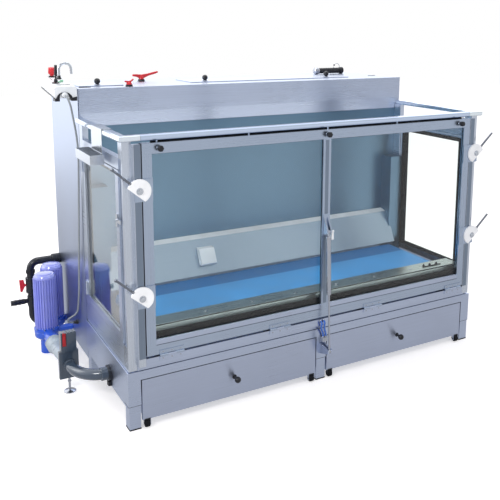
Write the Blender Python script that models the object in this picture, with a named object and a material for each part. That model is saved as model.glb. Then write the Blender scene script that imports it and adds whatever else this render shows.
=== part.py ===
"""A dog underwater treadmill: a glass-fronted tank with a belt in it, on a base with two drawers,
in front of a reservoir cabinet that carries the pumps, the valves and the control console.

Metres, +Z up. Every place below is laid out from the front left corner of the base, with X along
the tank to the right, Y to the back and Z up from the floor. The empty called treadmill then
moves it all, so that the origin is on the floor under the middle of the whole machine.
"""

import math

import bmesh
import bpy
from mathutils import Matrix, Vector

# Overall sizes
LENGTH = 2.070
TANK_DEPTH = 0.700
CABINET_DEPTH = 0.595
BASE_SHORT = 0.010
BASE_TOP = 0.282
RIM_TOP = 1.360
DECK_RISE = 0.143
CABINET_BOTTOM = 0.060
CABINET_FOOT = 0.018
BASE_DEPTH = TANK_DEPTH - BASE_SHORT
DEPTH = TANK_DEPTH + CABINET_DEPTH
DECK_TOP = RIM_TOP + DECK_RISE

# Clearances
CLEAR = 0.0003
RUN = 0.0006

# Base frame
LEG = 0.060
BEAM = 0.042
SLEEVE_BOTTOM = 0.118
FOOT_INSET = 0.003
PANEL_BOTTOM = 0.104
PANEL = 0.004

# Tank shell
INSET = 0.006
SEAM = 0.004
SEAM_DEPTH = 0.012
POST = 0.041
POST_DEPTH = 0.060
JAMB = 0.033
JAMB_BOTTOM = BASE_TOP + 0.028
SILL_TOP = BASE_TOP + 0.063
SILL_DEPTH = 0.048
SHEET = 0.003
SEAL_LIP = 0.006
LIP_REACH = 0.020
RIM = 0.026
RIM_FRONT = 0.016
RIM_OVERHANG = 0.018
RIM_WIDTH = 0.042
RIM_CORNER = 0.100
RIM_ROUND = 0.007
RIM_BACK = TANK_DEPTH - 0.005

# Front door
DOOR_FRONT = -0.023
DOOR_THICK = 0.030
DOOR_GAP = 0.005
DOOR_BOTTOM = SILL_TOP + 0.010
DOOR_TOP = RIM_TOP - 0.035
STILE = 0.045
TOP_RAIL = 0.048
BOTTOM_RAIL = 0.045
REBATE = 0.008
GLASS = 0.008
GLASS_FACE = 0.010
SPACER_ENDS = (0.073, 0.043)
SPACER_SHIFTS = (-0.429, 0.010, 0.443)
SPACER = 0.004

# Butt hinges of all doors
HINGE_WIDTH = 0.118
HINGE_ENDS = (0.2025, 0.1584)
HINGES = 4
LEAF = 0.024
LEAF_THICK = 0.003
KNUCKLE = 0.0055
HINGE_OUT = 0.006
HINGE_PIN = 0.0025

# Disc clamps on the front door
DISC = 0.053
DISC_THICK = 0.012
DISC_FLAT = 0.021
CLAMP_PLATE = 0.005
CLAMP_PLATE_HEIGHT = 0.100
CLAMP_PLATE_REACH = 0.046
CLAMP_BOLT = 0.006
CLAMP_HEAD = 0.010
CLAMP_ROD = 0.0055
CLAMP_REACH = 0.155
CLAMP_BALL = 0.0080
ROD_ANGLE = 42.0
FLAT_ANGLE = -50.0
CLAMPS = {
    "upper_left": (0.066, DOOR_TOP - 0.203),
    "lower_left": (0.066, DOOR_BOTTOM + 0.283),
    "upper_right": (LENGTH - 0.044, DOOR_TOP - 0.197),
    "lower_right": (LENGTH - 0.044, DOOR_BOTTOM + 0.299),
}

# Clamp knobs on the top rail
KNOB = 0.014
KNOB_STEM = 0.005
KNOB_INSET = 0.078
KNOB_STAND = 0.008

# Gas strut
STRUT_X = LENGTH / 2
STRUT_TOP = (-0.048, 0.812)
STRUT_FOOT = (-0.075, 0.184)
STRUT_TUBE = 0.012
STRUT_ROD = 0.005
STRUT_TUBE_LENGTH = 0.327
STRUT_OVERLAP = 0.075
STRUT_EYE = 0.010
STRUT_EYE_THICK = 0.011
STRUT_EAR = 0.009
STRUT_PIN = 0.004

# End doors
END_OUT = 0.004
END_THICK = 0.024
END_FRONT = 0.0625
END_BOTTOM = BASE_TOP + 0.118
END_TOP = RIM_TOP - 0.158
END_STILE = 0.043
END_TOP_RAIL = 0.012
TRANSOM_TOP = RIM_TOP - 0.104
COLUMN_FRONT = TANK_DEPTH - 0.060
COLUMN_THICK = 0.030
END_AXIS = COLUMN_FRONT - 0.002
END_HINGES = (END_BOTTOM + 0.080, END_TOP - 0.072)
END_HINGE_WIDTH = 0.070
LATCH_HEIGHT = 0.975
LATCH = (0.052, 0.060)

# Running gear
BELT_TOP = BASE_TOP + 0.173
BELT_FRONT = 0.130
BELT_BACK = TANK_DEPTH - 0.140
BELT_LEFT = 0.127
BELT_RIGHT = LENGTH - BELT_LEFT
BELT = 0.003
ROLLER = 0.040
SHAFT = 0.010
DECK_EDGE = 0.022
RAIL_WEB = 0.006
RAIL_FRONT = 0.066
RAIL_TOP = BELT_TOP + 0.011
RAIL_FLANGE = 0.004
RAIL_IN = 0.060
RAIL_ENDS = (RAIL_IN, LENGTH - RAIL_IN)
STUD_ENDS = (0.420, 0.385)
STUD_Y = 0.088
STUD = 0.007
STUDS = 6
GUARD_IN = 0.110
GUARD_ENDS = (GUARD_IN, LENGTH - GUARD_IN)
GUARD_FOOT = (TANK_DEPTH - 0.134, RAIL_TOP)
GUARD_HEAD = (TANK_DEPTH - 0.050, RAIL_TOP + 0.182)
GUARD_RISE = 0.012
GUARD_SHEET = 0.004
HOOD_ENDS = (0.610, 0.700)
HOOD_BOTTOM = RAIL_TOP + 0.054
HOOD_TOP = RAIL_TOP + 0.140
HOOD_DEPTH = 0.036
COLUMN_BOX = 0.090
COLUMN_BOX_TOP = 1.010

# Drawers
DRAWER_GAP = 0.005
DRAWER_TOP = BASE_TOP - BEAM - 0.004
DRAWER_BOTTOM = 0.040
DRAWER_FRONT = 0.018
DRAWER_BACK = BASE_DEPTH - 0.090
DRAWER_WALL = 0.003
DRAWER_TRAY_BOTTOM = 0.056
DRAWER_TRAY_TOP = DRAWER_TOP - 0.036
TRAY_GAP = 0.005
GUIDE = (DRAWER_TRAY_TOP - 0.050, DRAWER_TRAY_TOP - 0.015)
DRAWER_KNOB = 0.015
WHEEL = 0.018
WHEEL_LIFT = 0.0005
WHEEL_WIDTH = 0.024
WHEEL_INSET = 0.022
AXLE = 0.004
HANGER = 0.004
HANGER_HALF = 0.0065
WHEEL_ROWS = (0.007, 0.440)

# Reservoir cabinet and splash back
CABINET_SHEET = 0.004
SPLASH_BOTTOM = RIM_TOP - 0.048
SPLASH_CREASE = RIM_TOP + 0.020
SPLASH_SLANT = 0.008
SPLASH_FLANGE = 0.026
LID_DEPTH = 0.240
LID_END = 0.120
LID_HOLE = 0.012
LID_THICK = 0.004
LID_SPIGOT = 0.010
LIDS = {
    "left": ((0.170,), TANK_DEPTH + 0.260),
    "right": ((0.812, LENGTH - 0.410), TANK_DEPTH + 0.280),
}
LID_KNOB_SHIFT = -0.040
BALL = 0.016
WING_PLACE = (0.480, TANK_DEPTH + 0.400)
WING_ARMS = (0.055, 0.105)
WING_THICK = 0.012
SMALL_PLACE = (0.290, TANK_DEPTH + 0.045)
SMALL_ARMS = (0.024, 0.024)
VALVE_STEM = 0.008
BOSS = 0.018
BOSS_HEIGHT = 0.012

# Console
ARM_X = -0.083
ARM_Z = DECK_TOP - 0.015
ARM = 0.016
ARM_FRONT = TANK_DEPTH - 0.111
ARM_BACK = TANK_DEPTH + 0.260
ARM_BEND = 0.060
CONSOLE_X = (-0.129, -0.022)
CONSOLE_FRONT = TANK_DEPTH - 0.100
CONSOLE_BOTTOM = ARM_Z - 0.017
CONSOLE_LENGTH = 0.300
CONSOLE_HEIGHT = 0.058
CONSOLE_EDGE = 0.010
CONSOLE_RISE = 6.5
BRACKET_BOTTOM = ARM_Z - 0.031
BRACKET_DEPTH = 0.040
BRACKET_SLOT = 0.021
STOP_PLACE = (-0.081, 0.266)
STOP = 0.0185
STOP_HEIGHT = 0.050
LEVER_PLACE = (-0.100, 0.096)
LEVER_LENGTH = 0.090
LEVER_DEPTH = 0.006
START_PLACE = (-0.065, 0.122)
START = 0.008
STEM = 0.008
HOOK_RIM = 0.0075
HOOK_PLACE = (0.016, 0.202)
HOOK_HEIGHT = 0.0545
HOOK_BOW = 0.031
HOOK_DROP = 0.029

# Hook-on tray
TRAY_FRONT = 0.200
TRAY_BACK = 0.450
TRAY_BOTTOM = RIM_TOP - 0.154
TRAY_TOP = RIM_TOP - 0.110
TRAY_OUT = 0.078
TRAY_SHEET = 0.002
HOOK_FRONT = 0.230
HOOK_BACK = 0.400

# Pumps and pipes
PUMPS = {
    "front": (-0.138, DEPTH - 0.265, 0.462),
    "rear": (-0.068, DEPTH - 0.120, 0.464),
}
MOTOR = 0.0620
MOTOR_LENGTH = 0.315
COWL = 0.052
FIN_DEPTH = 0.009
FIN = 0.0044
FINS = 20
VOLUTE = 0.068
VOLUTE_HEIGHT = 0.062
PORT_RISE = 0.034
PEDESTAL = 0.036
NECK = 0.033
OUTLET_FRONT = PUMPS["front"][1] - 0.175
UNION = 0.046
UNION_LENGTH = 0.045
STUB = 0.020
PIPE = 0.0275
VALVE_X = -0.142
VALVE_Y = 0.511
VALVE_Z = 0.147
VALVE_PLATE = (0.097, 0.146)
VALVE_PLATE_THICK = 0.022
VALVE_BODY = (0.076, 0.040, 0.100)
VALVE_SLOT = (-0.030, -0.012)
BEND_END = (0.284, 0.166)
FLANGE = 0.038
FLANGE_THICK = 0.014
PIPE_FOOT = 0.030
FOOT_ROD = 0.006
HEADER = 0.0215
HEADER_X = -0.168
HEADER_Y = DEPTH - 0.033
HEADER_TOP = 0.462
HEADER_BEND = 0.045
HEADER_DROP = 0.018
TEE_HEIGHT = 0.228
NOZZLE = 0.0170
NOZZLE_REACH = 0.118
BALL_VALVE_HEIGHT = 0.326
BALL_VALVE = 0.030

# Hand shower and hoses
SHOWER_PLACE = (LENGTH - 0.335, DEPTH - 0.095)
SHOWER_LENGTH = 0.230
SHOWER = 0.019
SHOWER_COLLAR = 0.0235
SHOWER_RIBS = 9
HOSE = 0.005
CABLE = 0.0048

LEGS_X = (0.0, (LENGTH - LEG) / 2, LENGTH - LEG)
TANK_FLOOR = BASE_TOP + SEAM + CLEAR
BACK_FACE = TANK_DEPTH - SHEET
DOOR_LEFT = INSET + POST + JAMB + DOOR_GAP
DOOR_RIGHT = LENGTH - DOOR_LEFT + 0.002
DOOR_BACK = DOOR_FRONT + DOOR_THICK
MULLION = (DOOR_LEFT + DOOR_RIGHT) / 2
SPACER_PINS = (
    DOOR_LEFT + SPACER_ENDS[0],
    *(MULLION + shift for shift in SPACER_SHIFTS),
    DOOR_RIGHT - SPACER_ENDS[1],
)
HINGE_Y = DOOR_FRONT - HINGE_OUT
HINGE_Z = (SILL_TOP + DOOR_BOTTOM) / 2
ROLLER_Z = BELT_TOP - BELT - CLEAR - ROLLER
BELT_OUTER = ROLLER + CLEAR + BELT
LEFT_END = HEADER_X - NOZZLE_REACH
CLAMP_TIP = CLAMP_REACH * math.cos(math.radians(ROD_ANGLE)) + CLAMP_BALL
RIGHT_END = CLAMPS["upper_right"][0] + CLAMP_TIP
FRONT_END = STRUT_FOOT[0] - STRUT_EYE
CENTRE = Vector(((LEFT_END + RIGHT_END) / 2, (FRONT_END + DEPTH) / 2, 0.0))

COLOURS = {
    "brushed_steel": ("A9AFB9", 1.0, 0.34),
    "bright_steel": ("C6CAD1", 1.0, 0.22),
    "dark_rubber": ("17181B", 0.0, 0.60),
    "white_plastic": ("EEF0F2", 0.0, 0.40),
    "black_plastic": ("1B1C20", 0.0, 0.38),
    "grey_plastic": ("4D5E69", 0.0, 0.42),
    "blue_paint": ("2A3FC4", 0.0, 0.30),
    "blue_hose": ("3E6CC0", 0.0, 0.35),
    "red_plastic": ("D22D38", 0.0, 0.35),
    "green_plastic": ("2FA36B", 0.0, 0.35),
    "belt_blue": ("1D6C9E", 0.0, 0.55),
    "glass": ("DCE9EE", 0.0, 0.04),
    "cable_grey": ("8A9094", 0.0, 0.50),
}


def linear(hex_colour):
    """An sRGB hex colour as linear red, green and blue."""
    values = [int(hex_colour[i:i + 2], 16) / 255 for i in (0, 2, 4)]
    return [v / 12.92 if v <= 0.04045 else ((v + 0.055) / 1.055) ** 2.4 for v in values]


def materials():
    """One Principled material for each finish."""
    made = {}
    for name, (colour, metallic, roughness) in COLOURS.items():
        material = bpy.data.materials.new(name)
        material.use_nodes = True
        shader = material.node_tree.nodes["Principled BSDF"]
        shader.inputs["Base Color"].default_value = (*linear(colour), 1.0)
        shader.inputs["Metallic"].default_value = metallic
        shader.inputs["Roughness"].default_value = roughness
        if name == "glass":
            shader.inputs["Transmission Weight"].default_value = 0.9
        made[name] = material
    return made


def clear_scene():
    for obj in list(bpy.data.objects):
        bpy.data.objects.remove(obj, do_unlink=True)


# Shapes. Each one returns a helper object, which solid() uses up.


def shape(bm):
    bmesh.ops.recalc_face_normals(bm, faces=bm.faces)
    mesh = bpy.data.meshes.new("shape")
    bm.to_mesh(mesh)
    bm.free()
    return bpy.data.objects.new("shape", mesh)


def block(x, y, z, place=None):
    """A box between the low and high value of each axis."""
    bm = bmesh.new()
    low = Vector((min(x), min(y), min(z)))
    high = Vector((max(x), max(y), max(z)))
    bmesh.ops.create_cube(bm, size=1.0)
    for vert in bm.verts:
        vert.co = Vector(high[i] if vert.co[i] > 0 else low[i] for i in range(3))
    if place is not None:
        bm.transform(place)
    return shape(bm)


def turned(start, direction, profile, sides=20):
    """A closed turned solid: profile holds (distance along the direction, radius) pairs."""
    bm = bmesh.new()
    spin = Vector((0, 0, 1)).rotation_difference(Vector(direction)).to_matrix().to_4x4()
    place = Matrix.Translation(start) @ spin
    rings = []
    for along, radius in profile:
        if radius == 0:
            rings.append([bm.verts.new(place @ Vector((0, 0, along)))])
            continue
        ring = []
        for i in range(sides):
            angle = 2 * math.pi * (i + 0.5) / sides
            point = Vector((radius * math.cos(angle), radius * math.sin(angle), along))
            ring.append(bm.verts.new(place @ point))
        rings.append(ring)
    for low, high in zip(rings, rings[1:]):
        for i in range(sides):
            j = (i + 1) % sides
            if len(low) == 1:
                bm.faces.new((low[0], high[j], high[i]))
            elif len(high) == 1:
                bm.faces.new((low[i], low[j], high[0]))
            else:
                bm.faces.new((low[i], low[j], high[j], high[i]))
    for ring in (rings[0], rings[-1]):
        if len(ring) > 1:
            bm.faces.new(ring)
    return shape(bm)


def rod(start, end, radius, sides=14):
    start, end = Vector(start), Vector(end)
    return turned(start, (end - start).normalized(), [(0, radius), ((end - start).length, radius)], sides)


def bore(start, end, radius, gap=CLEAR, sides=16):
    """A cutter for a hole in which a round piece of this radius turns with the gap all round."""
    return rod(start, end, (radius + gap) / math.cos(math.pi / sides), sides)


def ball(centre, radius, sides=12):
    steps = sides // 2
    profile = []
    for i in range(steps + 1):
        angle = math.pi * i / steps
        profile.append((-radius * math.cos(angle), radius * math.sin(angle) if 0 < i < steps else 0))
    return turned(centre, (0, 0, 1), profile, sides)


def slab(outline, axis, span):
    """An outline pushed along an axis: (y, z) points along x, (x, z) along y, (x, y) along z."""
    bm = bmesh.new()
    order = {"x": (2, 0, 1), "y": (0, 2, 1), "z": (0, 1, 2)}[axis]
    rings = []
    for depth in span:
        ring = []
        for a, b in outline:
            values = (a, b, depth)
            ring.append(bm.verts.new([values[i] for i in order]))
        rings.append(ring)
        bm.faces.new(ring)
    low, high = rings
    for i in range(len(outline)):
        j = (i + 1) % len(outline)
        bm.faces.new((low[i], low[j], high[j], high[i]))
    return shape(bm)


def folded(points, thickness):
    """The outline of a sheet of this thickness folded along the points, on their left side."""
    points = [Vector(p) for p in points]
    normals = []
    for a, b in zip(points, points[1:]):
        run = (b - a).normalized()
        normals.append(Vector((-run.y, run.x)))
    inner = []
    for i, point in enumerate(points):
        before = normals[max(i - 1, 0)]
        after = normals[min(i, len(normals) - 1)]
        middle = (before + after).normalized()
        inner.append(point + middle * (thickness / middle.dot(before)))
    return [tuple(p) for p in points] + [tuple(p) for p in reversed(inner)]


def smooth_route(route, spacing):
    """Points along a smooth curve through the route, about this far apart."""
    route = [Vector(p) for p in route]
    ends = [2 * route[0] - route[1], *route, 2 * route[-1] - route[-2]]
    points = []
    for i in range(1, len(ends) - 2):
        a, b, c, d = ends[i - 1:i + 3]
        steps = max(1, round((c - b).length / spacing))
        for k in range(steps):
            t = k / steps
            point = b * 2 + (c - a) * t + (a * 2 - b * 5 + c * 4 - d) * t ** 2
            points.append((point + (b * 3 - a - c * 3 + d) * t ** 3) / 2)
    points.append(route[-1])
    return points


def swept(points, radius, sides=12):
    """A round tube along the points, with flat ends."""
    points = [Vector(p) for p in points]
    bm = bmesh.new()
    rings = []
    runs = [(b - a).normalized() for a, b in zip(points, points[1:])]
    side = runs[0].orthogonal().normalized()
    for i, point in enumerate(points):
        before = runs[max(i - 1, 0)]
        after = runs[min(i, len(runs) - 1)]
        run = (before + after).normalized()
        side = (side - run * side.dot(run)).normalized()
        other = run.cross(side)
        stretch = 1 / max(run.dot(before), 0.5)
        ring = []
        for k in range(sides):
            angle = 2 * math.pi * k / sides
            offset = side * math.cos(angle) + other * math.sin(angle)
            bend = (after - before)
            if bend.length > 1e-6:
                axis = bend.normalized()
                offset = offset + axis * offset.dot(axis) * (stretch - 1)
            ring.append(bm.verts.new(point + offset * radius))
        rings.append(ring)
    for low, high in zip(rings, rings[1:]):
        for k in range(sides):
            j = (k + 1) % sides
            bm.faces.new((low[k], low[j], high[j], high[k]))
    bm.faces.new(rings[0])
    bm.faces.new(rings[-1])
    return shape(bm)


def arc(centre, radius, start, end, steps):
    """Points on an arc, angles in degrees."""
    found = []
    for i in range(steps + 1):
        angle = math.radians(start + (end - start) * i / steps)
        found.append((centre[0] + radius * math.cos(angle), centre[1] + radius * math.sin(angle)))
    return found


# Bodies and solids


class Body:
    """A rigid body: an empty on its joint's axis, which carries the body's solids."""

    def __init__(self, name, parent=None, at=(0, 0, 0)):
        self.at = Vector(at)
        self.empty = bpy.data.objects.new(name, None)
        self.empty.empty_display_size = 0.05
        bpy.context.scene.collection.objects.link(self.empty)
        if parent is None:
            self.empty.location = -CENTRE
        else:
            self.empty.parent = parent.empty
            self.empty.location = self.at - parent.at


def link_group(name, helpers):
    group = bpy.data.collections.new(name)
    bpy.context.scene.collection.children.link(group)
    for helper in helpers:
        group.objects.link(helper)
    return group


def solid(name, body, finish, add, cut=()):
    """One closed solid: the added shapes joined, with the cut shapes taken away."""
    whole = add[0]
    bpy.context.scene.collection.objects.link(whole)
    groups = []
    for operation, helpers in (("UNION", add[1:]), ("DIFFERENCE", cut)):
        if not helpers:
            continue
        groups.append(link_group(operation, helpers))
        step = whole.modifiers.new(operation, "BOOLEAN")
        step.operation = operation
        step.operand_type = "COLLECTION"
        step.collection = groups[-1]
    bpy.context.view_layer.update()
    graph = bpy.context.evaluated_depsgraph_get()
    mesh = bpy.data.meshes.new_from_object(whole.evaluated_get(graph))
    for helper in [*add, *cut]:
        bpy.data.objects.remove(helper, do_unlink=True)
    for group in groups:
        bpy.data.collections.remove(group)
    mesh.name = name
    mesh.transform(Matrix.Translation(-body.at))
    mesh.materials.clear()
    mesh.materials.append(FINISHES[finish])
    mesh.shade_smooth()
    mesh.set_sharp_from_angle(angle=math.radians(35))
    obj = bpy.data.objects.new(name, mesh)
    bpy.context.scene.collection.objects.link(obj)
    obj.parent = body.empty
    return obj


def cord(name, body, finish, points, radius):
    """A cable held all the way: a curve with a round bevel and closed ends."""
    curve = bpy.data.curves.new(name, "CURVE")
    curve.dimensions = "3D"
    curve.bevel_depth = radius
    curve.bevel_resolution = 2
    curve.use_fill_caps = True
    line = curve.splines.new("POLY")
    line.points.add(len(points) - 1)
    for place, point in zip(line.points, points):
        place.co = (*(Vector(point) - body.at), 1.0)
    curve.materials.append(FINISHES[finish])
    obj = bpy.data.objects.new(name, curve)
    bpy.context.scene.collection.objects.link(obj)
    obj.parent = body.empty
    return obj


def butt_hinge(place, width, moving_face, fixed_face):
    """The pieces of a butt hinge: (moving leaf pieces, fixed leaf pieces, cutters of the fixed one).

    In its own frame the pin runs along x, y leads to the moving leaf and z points outwards.
    The faces are the depths of the two surfaces below the pin.
    """
    half = width / 2
    third = width / 6
    tab = KNUCKLE + 0.001
    moving = [block((-half, half), (tab, LEAF), (-moving_face - 0.0002, LEAF_THICK - moving_face), place)]
    fixed = [block((-half, half), (-tab, -LEAF), (-fixed_face - 0.0002, LEAF_THICK - HINGE_OUT), place)]
    for side in (-1, 1):
        span = (side * (third + CLEAR), side * half)
        moving.append(block(span, (0, tab), (-KNUCKLE, LEAF_THICK - HINGE_OUT), place))
        moving.append(rod(place @ Vector((span[0], 0, 0)), place @ Vector((span[1], 0, 0)), KNUCKLE, 12))
    moving.append(rod(place @ Vector((-half, 0, 0)), place @ Vector((half, 0, 0)), HINGE_PIN, 12))
    middle = (place @ Vector((-third, 0, 0)), place @ Vector((third, 0, 0)))
    fixed.append(block((-third, third), (0, -tab), (-KNUCKLE, LEAF_THICK - HINGE_OUT), place))
    fixed.append(rod(*middle, KNUCKLE, 12))
    reach = (place @ Vector((-half, 0, 0)), place @ Vector((half, 0, 0)))
    return moving, fixed, [bore(*reach, HINGE_PIN, CLEAR, 12)]


# Base and drawers


def strut_bracket(root_y, tip_y, root_low, root_high, pivot):
    """Two ears that stand out from a face and carry the strut's pin."""
    inner = STRUT_EYE_THICK / 2 + CLEAR * 2
    ears = []
    for side in (-1, 1):
        span = (STRUT_X + side * inner, STRUT_X + side * (inner + STRUT_EAR))
        y, z = pivot
        outline = [
            (root_y, root_low),
            (root_y, root_high),
            (tip_y, z + STRUT_EYE),
            (tip_y, z - STRUT_EYE * 0.8),
            (y + STRUT_EYE, z - STRUT_EYE * 1.4),
        ]
        ears.append(slab(outline, "x", sorted(span)))
    return ears


def base_frame(root):
    add = []
    rows = (0.0, BASE_DEPTH - LEG)
    for x in LEGS_X:
        for y in rows:
            add.append(block((x, x + LEG), (y, y + LEG), (SLEEVE_BOTTOM, BASE_TOP)))
            foot_x = (x + FOOT_INSET, x + LEG - FOOT_INSET)
            foot_y = (y + FOOT_INSET, y + LEG - FOOT_INSET)
            add.append(block(foot_x, foot_y, (0, BASE_TOP - BEAM)))
        add.append(block((x, x + LEG), (0, BASE_DEPTH), (BASE_TOP - BEAM, BASE_TOP)))
    for y in rows:
        add.append(block((0, LENGTH), (y, y + LEG), (BASE_TOP - BEAM, BASE_TOP)))
    between = (LEG / 2, BASE_DEPTH - LEG / 2)
    for x in (0.0, LENGTH - PANEL):
        add.append(block((x, x + PANEL), between, (PANEL_BOTTOM, BASE_TOP - BEAM / 2)))
    for left, right in drawer_spans().values():
        for edge, inward in ((left, 1), (right, -1)):
            strip = (edge - inward * LEG / 2, edge + inward * (TRAY_GAP - CLEAR))
            add.append(block(strip, between, GUIDE))
    tip = STRUT_FOOT[0] - STRUT_EYE
    add += strut_bracket(0.002, tip, STRUT_FOOT[1] - 0.036, STRUT_FOOT[1] + 0.024, STRUT_FOOT)
    solid("base_frame", root, "brushed_steel", add)


def drawer_spans():
    """The left and right edge of each drawer's front panel."""
    middle = LEGS_X[1]
    return {
        "left": (LEG + DRAWER_GAP, middle - DRAWER_GAP),
        "right": (middle + LEG + DRAWER_GAP, LENGTH - LEG - DRAWER_GAP),
    }


def drawer(root, side):
    left, right = drawer_spans()[side]
    body = Body(f"drawer_{side}_slide", root, ((left + right) / 2, 0, DRAWER_BOTTOM))
    tray_x = (left + TRAY_GAP, right - TRAY_GAP)
    floor = DRAWER_TRAY_BOTTOM + DRAWER_WALL
    hollow_x = (tray_x[0] + DRAWER_WALL, tray_x[1] - DRAWER_WALL)
    middle = (left + right) / 2
    knob_z = (DRAWER_TOP + DRAWER_BOTTOM) / 2
    add = [
        block((left, right), (0, DRAWER_FRONT), (DRAWER_BOTTOM, DRAWER_TOP)),
        block(tray_x, (DRAWER_FRONT / 2, DRAWER_BACK), (DRAWER_TRAY_BOTTOM, DRAWER_TRAY_TOP)),
        rod((middle, 0.002, knob_z), (middle, -0.030, knob_z), 0.006, 10),
        ball((middle, -0.036, knob_z), DRAWER_KNOB),
    ]
    cut = [block(hollow_x, (DRAWER_FRONT, DRAWER_BACK - DRAWER_WALL), (floor, DRAWER_TRAY_TOP + 0.01))]
    wheel_z = WHEEL + WHEEL_LIFT
    for row in WHEEL_ROWS:
        for edge, inward in ((left, 1), (right, -1)):
            x = edge + inward * (WHEEL_INSET + WHEEL_WIDTH / 2 + RUN)
            hanger_y = (row - HANGER_HALF, row + HANGER_HALF)
            add.append(block((x, x + inward * HANGER), hanger_y, (wheel_z - 0.009, floor)))
        cut.append(bore((left, row, wheel_z), (right, row, wheel_z), AXLE, CLEAR, 10))
    solid(f"drawer_{side}", body, "brushed_steel", add, cut)
    for name, row in zip(("front", "rear"), WHEEL_ROWS):
        wheelset(body, f"drawer_{side}_{name}_wheels", left, right, row)


def wheelset(parent, name, left, right, row):
    """Two small rollers on one axle under a drawer."""
    z = WHEEL + WHEEL_LIFT
    body = Body(f"{name}_spin", parent, ((left + right) / 2, row, z))
    add = []
    for edge, inward in ((left, 1), (right, -1)):
        x = edge + inward * WHEEL_INSET
        add.append(rod((x - WHEEL_WIDTH / 2, row, z), (x + WHEEL_WIDTH / 2, row, z), WHEEL, 16))
    ends = (left + WHEEL_INSET, right - WHEEL_INSET)
    add.append(rod((ends[0], row, z), (ends[1], row, z), AXLE, 10))
    solid(name, body, "dark_rubber", add)


# Tank shell


def mirrored(x, side):
    return x if side == "left" else LENGTH - x


def across(low, high, side):
    """A span of x on the left end, or its mirror image on the right end."""
    return tuple(sorted((mirrored(low, side), mirrored(high, side))))


def tank_floor(root):
    ends = (INSET + POST + CLEAR, LENGTH - INSET - POST - CLEAR)
    bar = (INSET + POST + JAMB + CLEAR, LENGTH - INSET - POST - JAMB - CLEAR)
    lip = (DOOR_LEFT + LIP_REACH, LENGTH - DOOR_LEFT - LIP_REACH)
    lip_y = (DOOR_BACK + 0.003, DOOR_BACK + 0.003 + SEAL_LIP)
    top = TANK_FLOOR - CLEAR
    add = [
        block((SEAM_DEPTH, LENGTH - SEAM_DEPTH), (SEAM_DEPTH, TANK_DEPTH), (BASE_TOP + CLEAR, top)),
        block(ends, (INSET / 2, SILL_DEPTH), (top - 0.001, SILL_TOP)),
        block(bar, (DOOR_FRONT, INSET), (JAMB_BOTTOM, SILL_TOP)),
        block(lip, lip_y, (SILL_TOP - 0.002, DOOR_BOTTOM + 0.013)),
    ]
    cut = []
    for place in front_hinges():
        moving, fixed, holes = butt_hinge(place, HINGE_WIDTH, HINGE_OUT, HINGE_OUT)
        for helper in moving:
            bpy.data.objects.remove(helper)
        add += fixed
        cut += holes
    solid("tank_floor", root, "brushed_steel", add, cut)


def front_hinges():
    """Where each front hinge's pin is, with its y up the door and its z out of the door."""
    turn = Matrix(((1, 0, 0), (0, 0, -1), (0, 1, 0))).to_4x4()
    pitch = (LENGTH - sum(HINGE_ENDS)) / (HINGES - 1)
    places = []
    for i in range(HINGES):
        places.append(Matrix.Translation((HINGE_ENDS[0] + i * pitch, HINGE_Y, HINGE_Z)) @ turn)
    return places


def post(root, side):
    top = RIM_TOP - RIM
    jamb_x = across(INSET + POST, INSET + POST + JAMB, side)
    lip_x = across(INSET + POST / 2, DOOR_LEFT + LIP_REACH - CLEAR, side)
    lip_y = (DOOR_BACK + 0.003, DOOR_BACK + 0.003 + SEAL_LIP)
    rim_x = mirrored(INSET - RIM_OVERHANG + RIM_WIDTH / 2, side)
    rim_y = RIM_WIDTH / 2 - RIM_FRONT
    rim_end = mirrored(DOOR_LEFT - DOOR_GAP / 2, side)
    add = [
        block(across(INSET, INSET + POST, side), (INSET, POST_DEPTH), (TANK_FLOOR, top + 0.001)),
        block(jamb_x, (DOOR_FRONT, lip_y[1]), (SILL_TOP + CLEAR, top - 0.014)),
        block(jamb_x, (DOOR_FRONT, INSET / 2 - CLEAR), (JAMB_BOTTOM, SILL_TOP + 0.002)),
        block(lip_x, lip_y, (SILL_TOP + CLEAR, top - 0.014)),
        rim_tube([(rim_end, rim_y), (rim_x, rim_y), (rim_x, RIM_CORNER)]),
    ]
    slot_x = across(-0.01, INSET + 0.008, side)
    slot = block(slot_x, (INSET + 0.014, POST_DEPTH + 0.01), (END_BOTTOM, TRANSOM_TOP))
    solid(f"post_{side}", root, "brushed_steel", add, [slot])


def rim_tube(path):
    """The rim's round-edged tube along a level path of its middle line, with mitred corners."""
    flat = RIM_WIDTH / 2 - RIM_ROUND
    tall = RIM / 2 - RIM_ROUND
    profile = []
    for u, v, start in ((flat, tall, 0), (-flat, tall, 90), (-flat, -tall, 180), (flat, -tall, 270)):
        profile += arc((u, v), RIM_ROUND, start, start + 90, 3)
    path = [Vector(point) for point in path]
    runs = [(b - a).normalized() for a, b in zip(path, path[1:])]
    bm = bmesh.new()
    rings = []
    for i, point in enumerate(path):
        before, after = runs[max(i - 1, 0)], runs[min(i, len(runs) - 1)]
        across_before = Vector((before.y, -before.x))
        across_after = Vector((after.y, -after.x))
        mitre = (across_before + across_after) / (1 + across_before.dot(across_after))
        ring = []
        for u, v in profile:
            place = point + mitre * u
            ring.append(bm.verts.new((place.x, place.y, RIM_TOP - RIM / 2 + v)))
        rings.append(ring)
    for low, high in zip(rings, rings[1:]):
        for k in range(len(profile)):
            j = (k + 1) % len(profile)
            bm.faces.new((low[k], low[j], high[j], high[k]))
    bm.faces.new(rings[0])
    bm.faces.new(rings[-1])
    return shape(bm)


def end_hinge_places(side):
    """Where the pins of an end door's two hinges are."""
    out = -1 if side == "left" else 1
    turn = Matrix(((0, 0, out), (0, -1, 0), (1, 0, 0))).to_4x4()
    x = mirrored(END_OUT - HINGE_OUT, side)
    return [Matrix.Translation((x, END_AXIS, z)) @ turn for z in END_HINGES]


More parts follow.
